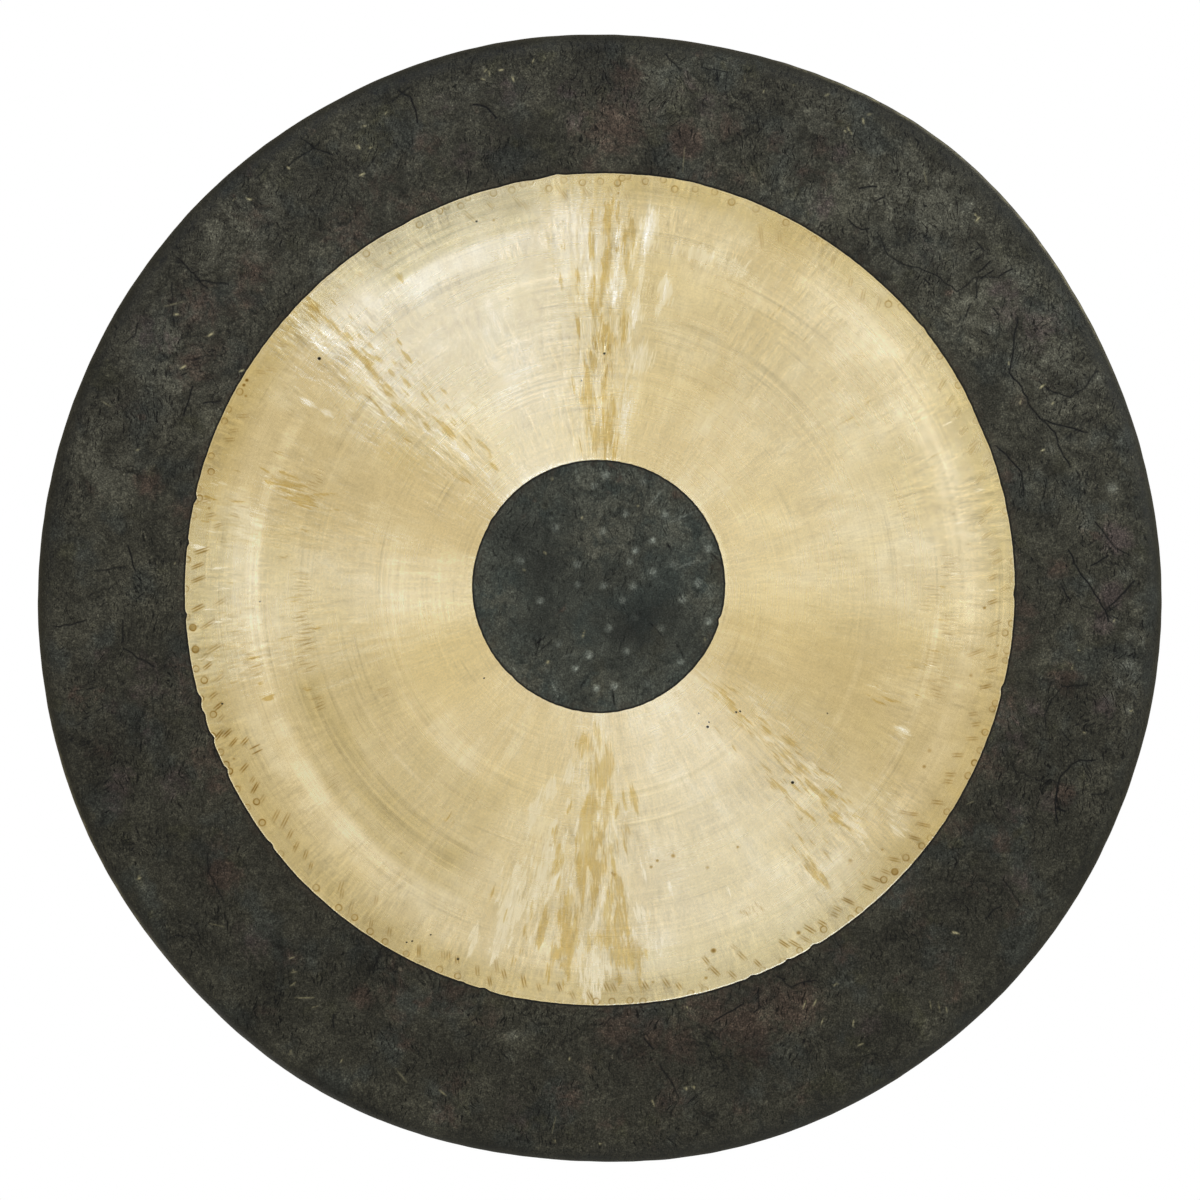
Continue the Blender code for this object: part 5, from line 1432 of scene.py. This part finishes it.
def shoulder_highlight_and_shade(th, a):
    """A painted highlight, drawn as bare metal, along the turn of the edge at the upper right and a little at the lower
    left, with a painted dark line of shade inside it; a runs from the face to the rim."""
    deg = np.degrees(th) % 360.0
    s, c = np.sin(th), np.cos(th)
    where = smooth(16.0, 26.0, deg) * smooth(70.0, 58.0, deg) + 0.5 * smooth(222.0, 232.0, deg) * smooth(262.0, 250.0, deg)
    patchy = np.clip(0.60 + 0.60 * TURN(40.0 * s, 40.0 * c, 6.0 + 0.0 * th), 0.12, 1.0)
    grainy = np.clip(0.7 + 0.9 * TURN(260.0 * s, 260.0 * c, 3.0 + 9.0 * a), 0.15, 1.2)
    line = np.exp(-((a - 0.70) / 0.085) ** 2)
    inner_line = np.exp(-((a - 0.485) / 0.06) ** 2)
    return {"bare": 0.42 * where * patchy * grainy * line, "mark": 0.55 * where * np.clip(patchy + 0.2, 0.0, 1.0) * inner_line}


BORDER_KEYS = ("mark", "bare", "pale", "rust", "plum", "worn")
RING_KEYS = ("mark", "pit", "rip", "lane", "glow", "dusk")

# The black middle, by column and row of the 1200 px view: creases, pale
# scratches, bare specks, and areas of thin or thick scale.
BOSS_LINES = [(538, 648, 541, 634, 1.), (534, 645, 545, 637, .9), (533, 638, 543, 647, .9), (536, 655, 540, 640, .8), (579, 537, 584, 542, .9),
              (667, 543, 671, 549, 1.), (711, 553, 719, 561, 1.), (719, 561, 724, 566, .9), (648, 621, 655, 628, .9), (655, 628, 663, 637, .9),
              (612, 690, 615, 706, 1.), (675, 642, 680, 650, .8), (680, 650, 685, 660, .8), (573, 489, 574, 505, .7), (574, 505, 577, 520, .7),
              (549, 643, 538, 652, .7), (573, 648, 570, 655, .7), (510, 618, 516, 626, .6), (605, 582, 612, 577, .7), (693, 511, 700, 505, .4),
              (655, 640, 660, 646, .7), (600, 645, 606, 640, .5), (527, 607, 530, 613, .6), (546, 528, 551, 533, .6), (648, 536, 651, 541, .5)]
BOSS_SCRATCHES = [(672, 522, 696, 511, .8), (675, 519, 690, 513, .5), (648, 507, 663, 489, .6), (651, 508, 657, 500, .4), (675, 570, 693, 561, .7),
                  (688, 566, 699, 560, .5), (551, 680, 558, 697, .8), (554, 678, 561, 693, .5), (575, 470, 579, 478, .5), (541, 690, 545, 683, .4),
                  (528, 640, 532, 648, .5), (564, 657, 573, 654, .4), (600, 660, 604, 640, .3), (548, 676, 546, 668, .5)]
BOSS_SPECKS = [(582, 518, .55), (545, 553, .6), (548, 662, .9), (584, 632, .5), (552, 479, .4), (638, 506, .35), (705, 639, .45), (583, 636, .4), (524, 570, .3)]
BOSS_THIN = [(600, 540, 40, .9), (635, 505, 38, .7), (583, 530, 25, .5), (500, 605, 24, .7), (530, 678, 26, .8), (600, 690, 28, .5), (700, 600, 22, .5),
             (560, 640, 24, .4), (680, 530, 26, .5), (580, 480, 28, .5), (660, 650, 22, .3), (545, 490, 20, .4), (700, 560, 18, .4)]
BOSS_THICK = [(520, 530, 24, .45), (545, 562, 26, .55), (640, 622, 34, .65), (618, 592, 26, .4), (548, 615, 30, .4), (560, 505, 18, .3), (600, 620, 26, .3),
              (690, 640, 18, .35), (576, 585, 22, .3), (640, 560, 20, .25)]


def between(c0, r0, c1, r1):
    return [tuple(map(float, view_px(c0, r0))), tuple(map(float, view_px(c1, r1)))]


boss_lines = [(between(*row[:4]), row[4]) for row in BOSS_LINES]
boss_scratches = [(between(*row[:4]), row[4]) for row in BOSS_SCRATCHES]
boss_specks = [(*map(float, view_px(c, r)), 0.75, s) for c, r, s in BOSS_SPECKS]
boss_thin = [(*map(float, view_px(c, r)), rad * PX, s) for c, r, rad, s in BOSS_THIN]
boss_thick = [(*map(float, view_px(c, r)), rad * PX, s) for c, r, rad, s in BOSS_THICK]


def painted_dimple_sheen(x, z, items, strength_of):
    """Painted sheen in round dents, with a fairly firm outline, lighter towards the lower right."""
    d = np.zeros_like(x)
    for item in items:
        cx, cz, rad = item[0], item[1], item[2]
        idx = np.nonzero((np.abs(x - cx) < 1.8 * rad) & (np.abs(z - cz) < 1.8 * rad))[0]
        if len(idx):
            q = np.hypot(x[idx] - cx, z[idx] - cz) / rad
            lower = 0.72 + 0.28 * np.clip(((x[idx] - cx) - (z[idx] - cz)) / rad, -1.0, 1.0)
            d[idx] = np.maximum(d[idx], strength_of(item) * lower * np.exp(-(q ** 4)))
    return d


def boss_mark_maker(x, z):
    depth, dark, pale = np.zeros_like(x), np.zeros_like(x), np.zeros_like(x)
    for ends, s in boss_lines:
        for idx, dist, t in near_segments(x, z, ends, 2.5):
            g = np.exp(-(dist / 0.62) ** 2) * np.sin(np.pi * np.clip(t, 0.2, 0.8))
            depth[idx] = np.maximum(depth[idx], 0.10 * g)
            dark[idx] = np.maximum(dark[idx], s * g)
    for ends, s in boss_scratches:
        for idx, dist, t in near_segments(x, z, ends, 2.5):
            g = np.exp(-(dist / 0.55) ** 2) * np.sin(np.pi * np.clip(t, 0.2, 0.8))
            depth[idx] = np.maximum(depth[idx], 0.05 * g)
            pale[idx] = np.maximum(pale[idx], s * g)
    depth = depth + dish(x, z, boss_dimples, lambda i: 0.16)
    pale = np.maximum(pale, painted_dimple_sheen(x, z, boss_dimples, lambda i: i[3]))
    bare = blob(x, z, boss_specks, lambda i: i[3])
    thick = blob(x, z, boss_thick, lambda i: i[3])
    thin = blob(x, z, boss_thin, lambda i: i[3])
    zero = np.zeros_like(x)
    return {"depth": depth, "mark": np.maximum(dark, thick * 0.62), "bare": bare, "pale": pale, "rust": zero, "plum": thick * 0.3,
            "worn": np.clip(0.10 + 0.75 * thin, 0.0, 1.0)}


def plain_back_marks(keys):
    def make(x, z):
        out = {key: np.zeros_like(x) for key in keys}
        out["depth"] = np.zeros_like(x)
        return out
    return {"keys": keys, "make": make}


# ---- front -----------------------------------------------------------------
disc("front_boss", boss_edge, 480, np.append(np.linspace(0.012, 0.985, 74), [0.994, 1.0]),
     lambda rho, edge: 0.0 * rho, mid_depth, black_relief,
     {"keys": BORDER_KEYS, "make": boss_mark_maker}, patina_boss)

inner_span = 243.5 - 90.5
annulus("front_ring_inner", boss_edge, mid_circle, 960,
        face_rows(inner_span, 2.2, first=(0.3, 0.9, 1.6), last=(0.02,)),
        lambda rho, a, b: 0.03 + 0.26 * smooth(0.0, 2.2, a), mid_depth, ring_relief,
        {"keys": RING_KEYS, "make": ring_mark_maker}, bronze,
        fine_at=cells_near([(c[0], c[1], 1.8 + c[2]) for c in ring_spots + ring_pits],
                           [(ends, 1.6) for ends, _ in ring_chatter]), k=4, seam="out")
outer_span = 297.8 - 243.5
annulus("front_ring_outer", mid_circle, ring_edge, 960,
        face_rows(outer_span, 1.9, first=(0.02,), last=(0.12, 0.4, 0.8, 1.6)),
        lambda rho, a, b: ring_depth(rho, 9.0, b), mid_depth, ring_relief,
        {"keys": RING_KEYS, "make": ring_mark_maker}, bronze,
        fine_at=cells_near([(c[0], c[1], 3.5) for c in ring_punches] + [(c[0], c[1], 1.6 + c[2]) for c in ring_spots + ring_pits],
                           [(ends, 1.35) for ends, _ in ring_chisels] + [(ends, 1.1) for ends, _ in ring_chatter]), k=4, seam="in")


def border_middle(theta):
    r = 346.0 * stretch(np.array([346.0]), theta)
    return r * np.sin(theta), r * np.cos(theta)


border_span = R_FACE - 299.0
border_fine = cells_near([], [(line, 1.7) for line, _, _ in border_cracks] + [(e, 1.3) for e, _ in border_strokes]
                         + [(e, 1.5) for e, _, _ in border_nicks])
annulus("front_border_inner", ring_edge, border_middle, 1080,
        face_rows(346.0 - 299.0, 2.05, first=(0.12, 0.4, 1.0), last=(0.02,)),
        lambda rho, a, b: 0.30 * (1.0 - smooth(0.0, 0.9, a)), mid_depth, black_relief,
        {"keys": BORDER_KEYS, "make": border_mark_maker}, patina, fine_at=border_fine, k=4, seam="out")
annulus("front_border_outer", border_middle, face_edge, 1200,
        face_rows(R_FACE - 346.0, 2.05, first=(0.02,)),
        lambda rho, a, b: 0.0 * rho, mid_depth, black_relief,
        {"keys": BORDER_KEYS, "make": border_mark_maker, "arc": shoulder_highlight_and_shade}, patina, fine_at=border_fine, k=3, arc_rows=13, seam="in")

# ---- back ------------------------------------------------------------------
disc("back_boss", boss_edge, 240, np.append(np.linspace(0.02, 0.985, 42), [1.0]),
     lambda rho, edge: thickness(rho), mid_depth, black_relief,
     plain_back_marks(BORDER_KEYS), patina_back, front=False)
annulus("back_ring", boss_edge, ring_edge, 640,
        face_rows(297.8 - 90.5, 3.4, first=(0.4, 0.9), last=(0.4, 0.9)),
        lambda rho, a, b: thickness(rho) - 0.22 * smooth(0.0, 0.8, b) * smooth(0.0, 0.6, a), mid_depth, back_ring_relief,
        plain_back_marks(RING_KEYS), bronze_back, front=False)
annulus("back_border", ring_edge, face_edge, 800,
        face_rows(border_span, 3.6, first=(0.4, 1.0)),
        lambda rho, a, b: thickness(rho), mid_depth, black_relief,
        plain_back_marks(BORDER_KEYS), patina_back, front=False, arc_rows=7)


# ---- rim: wall, cut edge and the two cord holes ----------------------------
HOLE_W, HOLE_R, HOLE_DEG = 21.0, 4.75, 11.5


def make_rim():
    cols = 1200
    step = 360.0 / cols
    # Rows down the outside, round the cut edge and up the inside.
    lo, hi = HOLE_W - 7.0, HOLE_W + 7.0
    upper = list(np.linspace(WALL_TOP, hi, 5))[:-1]
    block = list(np.linspace(hi, lo, 9))
    lower = list(np.linspace(lo, 1.1, 8))[1:]
    out_w = [WALL_TOP, WALL_TOP - 0.05] + upper[1:] + block + lower
    stations = [("out", v, 0.0) for v in out_w]
    stations += [("out", 0.55, 0.05), ("out", 0.22, 0.22), ("out", 0.02, 0.6), ("edge", 0.0, 1.4), ("in", 0.02, 0.6),
                 ("in", 0.22, 0.22), ("in", 0.55, 0.05)]
    stations += [("in", v, 0.0) for v in reversed(out_w)]
    rows = len(stations)
    i_out = 1 + len(upper)                       # first row of the block, outside
    i_in = rows - 1 - (i_out + 8)                # first row of the block, inside
    rc, quads, frow, _, _ = cell_grid(rows, cols, True)
    row = rc[:, 0].astype(int)
    th = np.radians(rc[:, 1] * step)
    side = np.array([0 if s[0] == "out" else (1 if s[0] == "in" else 2) for s in stations])[row]
    w0 = np.array([s[1] for s in stations])[row]
    inset = np.array([s[2] for s in stations])[row]
    r_out = rim_radius(w0)
    r = np.where(side == 0, r_out - inset, np.where(side == 1, r_out - T_RIM + inset, r_out - T_RIM / 2.0))
    bx, bz = r * np.sin(th), r * np.cos(th)
    d = forged(bx, bz, w0) + 1.2 * hammered(bx, bz, w0) - 0.25
    d = d - dish(th * 400.0, w0, [(m[0], m[1], m[2], m[3]) for m in rim_dents], lambda i: i[3])
    fade = np.where(side == 2, 0.0, 1.0)
    r = r + np.where(side == 0, d, d * 0.9) * fade
    # The cut edge isn't quite even.
    low = smooth(6.0, 0.0, w0)
    w = w0 + low * (0.10 + 0.16 * TURN(9.0 * np.sin(th), 9.0 * np.cos(th), 1.0 + 0.0 * th))
    atts = {"edge_in": np.full(len(r), 50.0), "edge_out": np.full(len(r), 50.0)}
    for key in BORDER_KEYS:
        atts[key] = np.zeros(len(r))
    wear = np.exp(-((w0 - 0.3) / 0.55) ** 2) * smooth(-0.45, 0.45, 0.8 * TURN(9.0 * np.sin(th), 9.0 * np.cos(th), 8.0 + 0.0 * th)
                                                      + 0.4 * TURN(60.0 * np.sin(th), 60.0 * np.cos(th), 8.0 + 0.0 * th)
                                                      + 0.3 * TURN(240.0 * np.sin(th), 240.0 * np.cos(th), 4.0 + 0.0 * th))
    atts["bare"] = np.clip(wear * 0.55, 0.0, 1.0)
    rr = list(r)
    # Cord holes: cut a block of cells from both walls, join it to a tunnel.
    keep = np.ones(len(quads), bool)
    qr, qc = frow, np.tile(np.arange(cols), rows)
    extra_r, extra_th, extra_w, extra_quads, extra_bare = [], [], [], [], []
    next_id = len(rc)
    for sign in (1, -1):
        c_mid = int(round(sign * HOLE_DEG / step)) % cols
        half = 4
        offsets = np.arange(-half, half + 1)

        def loop_of(i0, rising):
            """Vertex ids round the block: clockwise in columns and rows."""
            ids = []
            grid = lambda i, j: i * cols + (c_mid + j) % cols
            r_idx = list(range(i0, i0 + 9))
            if not rising:
                r_idx = r_idx[::-1]
            for j in offsets[:-1]:
                ids.append(grid(r_idx[0], j))
            for i in r_idx[:-1]:
                ids.append(grid(i, half))
            for j in offsets[::-1][:-1]:
                ids.append(grid(r_idx[-1], j))
            for i in r_idx[::-1][:-1]:
                ids.append(grid(i, -half))
            return ids

        in_block = np.isin((qc - c_mid) % cols, (np.arange(-half, half) % cols))
        keep &= ~(in_block & (((qr >= i_out) & (qr < i_out + 8)) | ((qr >= i_in) & (qr < i_in + 8))))
        outer_loop, inner_loop = loop_of(i_out, True), loop_of(i_in, False)
        m = len(outer_loop)
        c_th = sign * math.radians(HOLE_DEG)
        phase = np.array([math.atan2(w[v] - HOLE_W, ((th[v] - c_th + math.pi) % (2 * math.pi) - math.pi) * 404.0) for v in outer_loop])
        r_mid_out, r_mid_in = rim_radius(HOLE_W), rim_radius(HOLE_W) - T_RIM
        loops = [outer_loop]
        plan = [("out", 1.18), ("out", 1.06), ("round_out", 1.0), ("mid", 1.0), ("round_in", 1.0), ("in", 1.06), ("in", 1.18)]
        for where, grow in plan:
            ids = []
            for v, ph in zip(outer_loop, phase):
                ring_r = HOLE_R * grow
                t_off, w_off = math.cos(ph) * ring_r / 404.0, math.sin(ph) * ring_r
                here_out = float(np.interp(HOLE_W + w_off, [0, WALL_TOP], [rim_radius(0.0), rim_radius(WALL_TOP)]))
                here_out = rim_radius(HOLE_W + w_off) - 0.25
                here_in = here_out - T_RIM + 0.25 * 0.0
                if where == "out":
                    rad = here_out - (0.10 if grow < 1.1 else 0.0)
                elif where == "round_out":
                    rad = here_out - 0.45
                elif where == "mid":
                    rad = here_out - T_RIM / 2.0
                elif where == "round_in":
                    rad = here_in + 0.45
                else:
                    rad = here_in + (0.10 if grow < 1.1 else 0.0)
                extra_r.append(rad)
                extra_th.append(c_th + t_off)
                extra_w.append(HOLE_W + w_off)
                extra_bare.append({"out": 0.15, "round_out": 0.75, "mid": 0.4, "round_in": 0.75, "in": 0.15}[where] if grow < 1.1 else 0.05)
                ids.append(next_id)
                next_id += 1
            loops.append(ids)
        loops.append(inner_loop)
        for a, b in zip(loops, loops[1:]):
            for i in range(m):
                j = (i + 1) % m
                extra_quads.append((a[i], a[j], b[j], b[i]))
    quads_all = np.concatenate([quads[keep], np.array(extra_quads)])
    frows = np.concatenate([frow[keep], np.full(len(extra_quads), -1)])
    r = np.concatenate([r, extra_r])
    th_all = np.concatenate([th, extra_th])
    w_all = np.concatenate([w, extra_w])
    for key in atts:
        atts[key] = np.concatenate([atts[key], np.full(len(extra_r), 50.0 if key.startswith("edge") else 0.0)])
    atts["bare"][len(rc):] = extra_bare
    ov = oval(th_all)
    co = to_world(r * ov * np.sin(th_all), r * ov * np.cos(th_all), w_all)
    # Drop the vertices that the holes left loose.
    used = np.zeros(len(co), bool)
    used[quads_all.ravel()] = True
    remap = np.cumsum(used) - 1
    quads_all = remap[quads_all]
    old_row = np.concatenate([rc[:, 0], np.full(len(extra_r), -1.0)])[used]
    th_used = th_all[used]
    w_used = w_all[used]
    profile = np.zeros(rows + 1)
    for i in range(1, rows + 1):
        s0, s1 = stations[i - 1], stations[i % rows]
        r0 = rim_radius(s0[1]) - (0 if s0[0] == "out" else (T_RIM if s0[0] == "in" else T_RIM / 2))
        r1 = rim_radius(s1[1]) - (0 if s1[0] == "out" else (T_RIM if s1[0] == "in" else T_RIM / 2))
        profile[i] = profile[i - 1] + math.hypot(s1[1] - s0[1], r1 - r0)

    def uv_of_corner(li, lt):
        face_row = np.repeat(frows, lt)
        rr_ = old_row[li]
        rr_ = np.where((face_row == rows - 1) & (rr_ < 0.5), rows, rr_)
        length = np.interp(rr_, np.arange(rows + 1), profile)
        # The tunnel's own vertices take the place of the wall that they replace.
        length = np.where(rr_ < 0, WALL_TOP - w_used[li], length)
        radius = 420.0 - length
        full = 424.0
        a = th_used[li]
        tiny = face_row == rows - 1
        radius = np.where(tiny, 150.0 + 10.0 * (rr_ > rows - 0.5), radius)
        tunnel = face_row == -1
        radius = np.where(tunnel, 250.0 - 2.0 * (WALL_TOP - w_used[li]), radius)
        return np.stack([0.5 + 0.5 * radius / full * np.sin(a), 0.5 + 0.5 * radius / full * np.cos(a)], 1)

    return make_piece("rim", co[used], quads_all, [], uv_of_corner, {k_: v[used] for k_, v in atts.items()}, patina_back,
                      sharp=40.0)


rim_dents = [((mark_rng.random() * 2.0 * math.pi) * 400.0, 3.0 + 28.0 * mark_rng.random(), 4.0 + 4.0 * mark_rng.random(),
              0.08 + 0.12 * mark_rng.random()) for _ in range(110)]
make_rim()


# ---------------------------------------------------------------------------
# Floor, light and camera
# ---------------------------------------------------------------------------
def make_floor():
    """A pale round floor well below the gong, which fades out at its edge."""
    cols, radii = 96, np.array([0.0, 0.3, 0.7, 1.1, 1.5])
    verts = [(0.0, 0.0, 0.0)]
    for rad in radii[1:]:
        for j in range(cols):
            a = 2.0 * math.pi * j / cols
            verts.append((rad * math.cos(a), rad * math.sin(a), 0.0))
    faces = [(0, 1 + j, 1 + (j + 1) % cols) for j in range(cols)]
    for i in range(len(radii) - 2):
        for j in range(cols):
            a, b = 1 + i * cols + j, 1 + i * cols + (j + 1) % cols
            faces.append((a, a + cols, b + cols, b))
    mesh = bpy.data.meshes.new("floor")
    mesh.from_pydata(verts, [], faces)
    mesh.update()
    obj = bpy.data.objects.new("floor", mesh)
    bpy.context.scene.collection.objects.link(obj)
    obj.location = (0.0, 0.0, -1.08)
    t = Tree("pale_floor")
    at = t.place()
    dist = t.vmath("LENGTH", at)
    speck = t.noise(at, 40.0, 4.0, 0.6)
    tone = t.add(t.centred(speck, 0.03), 0.80)
    t.put(t.bsdf.inputs["Base Color"], t.vec(tone, t.mul(tone, 1.0), t.mul(tone, 1.0)))
    t.bsdf.inputs["Roughness"].default_value = 0.75
    t.put(t.bsdf.inputs["Normal"], t.bump(speck, 0.0005))
    clear = t.node("ShaderNodeBsdfTransparent")
    mixer = t.node("ShaderNodeMixShader")
    t.put(mixer.inputs[0], t.ramp(dist, 0.75, 1.45))
    t.nt.links.new(t.bsdf.outputs[0], mixer.inputs[1])
    t.nt.links.new(clear.outputs[0], mixer.inputs[2])
    t.nt.links.new(mixer.outputs[0], t.out.inputs["Surface"])
    mesh.materials.append(t.mat)
    obj.visible_shadow = False          # lamps below the floor's level light the gong too


make_floor()
GONG_MID = Vector((0.0, -0.03, CENTRE_Z))


def softbox(name, clock, off_axis, distance, size, power, colour, lift=0.0):
    """A square or long area light aimed at the gong, placed by clock angle seen
    from the front and by its angle from the gong's own axis."""
    a, o = math.radians(clock), math.radians(off_axis)
    towards = Vector((math.sin(a) * math.sin(o), -math.cos(o), math.cos(a) * math.sin(o)))
    data = bpy.data.lights.new(name, "AREA")
    data.shape = "RECTANGLE"
    data.size, data.size_y = size
    data.energy = power
    data.color = colour
    obj = bpy.data.objects.new(name, data)
    bpy.context.scene.collection.objects.link(obj)
    obj.location = GONG_MID + towards * distance
    # Local X runs round the gong's axis, so size is (round, towards).
    z_axis = towards
    x_axis = Vector((math.cos(a), 0.0, -math.sin(a))).normalized()
    y_axis = z_axis.cross(x_axis).normalized()
    from mathutils import Matrix
    obj.matrix_world = Matrix(((x_axis.x, y_axis.x, z_axis.x, obj.location.x), (x_axis.y, y_axis.y, z_axis.y, obj.location.y),
                               (x_axis.z, y_axis.z, z_axis.z, obj.location.z), (0.0, 0.0, 0.0, 1.0)))
    obj.visible_camera = False
    return obj


softbox("key", 334.6, 50.0, 2.6, (1.64, 0.5), 34.3, (0.44, 0.59, 0.94))
softbox("low", 155.2, 52.0, 2.2, (0.98, 0.4), 6.2, (0.5, 0.67, 0.94))
softbox("side", 65.0, 66.0, 1.3, (1.50, 0.45), 13.6, (0.60, 0.72, 0.88))
softbox("left", 269.5, 54.0, 1.5, (0.50, 0.5), 2.6, (0.48, 0.65, 0.93))
softbox("strip_top", 12.0, 54.0, 1.5, (0.60, 0.5), 1.6, (0.74, 0.86, 0.95))
softbox("strip_low", 197.0, 54.0, 1.5, (0.12, 0.5), 0.55, (0.75, 0.88, 0.95))
softbox("edge_right", 45.0, 118.0, 2.2, (0.8, 0.5), 7.0, (1.0, 0.99, 0.92))
softbox("edge_left", 220.0, 118.0, 2.2, (0.8, 0.5), 5.0, (1.0, 0.99, 0.92))

world = bpy.data.worlds.new("studio")
bpy.context.scene.world = world
world.use_nodes = True
wt = world.node_tree
wt.nodes.clear()
fill = wt.nodes.new("ShaderNodeBackground")
fill.inputs["Color"].default_value = (0.712, 0.628, 0.424, 1.0)
fill.inputs["Strength"].default_value = 0.985
white =wt.nodes.new("ShaderNodeBackground")
white.inputs["Color"].default_value = (1.0, 1.0, 1.0, 1.0)
white.inputs["Strength"].default_value = 1.0
path = wt.nodes.new("ShaderNodeLightPath")
mixer = wt.nodes.new("ShaderNodeMixShader")
out = wt.nodes.new("ShaderNodeOutputWorld")
wt.links.new(path.outputs["Is Camera Ray"], mixer.inputs[0])
wt.links.new(fill.outputs[0], mixer.inputs[1])
wt.links.new(white.outputs[0], mixer.inputs[2])
wt.links.new(mixer.outputs[0], out.inputs["Surface"])

cam_data = bpy.data.cameras.new("camera")
cam_data.sensor_width = 36.0
cam_data.lens = 36.0 * VIEW_DISTANCE / (1200.0 * PX)
cam_data.clip_start, cam_data.clip_end = 0.1, 50.0
camera = bpy.data.objects.new("camera", cam_data)
bpy.context.scene.collection.objects.link(camera)
camera.location = (0.04 * PX * 1e-3, BACK_EDGE_Y - WALL_TOP * 1e-3 - VIEW_DISTANCE * 1e-3, CENTRE_Z - 1.73 * PX * 1e-3)
camera.rotation_euler = (math.radians(90.0), 0.0, 0.0)
bpy.context.scene.camera = camera

scene = bpy.context.scene
scene.view_settings.view_transform = "Standard"
scene.cycles.use_denoising = True
scene.cycles.max_bounces = 6
scene.cycles.sample_clamp_indirect = 4.0
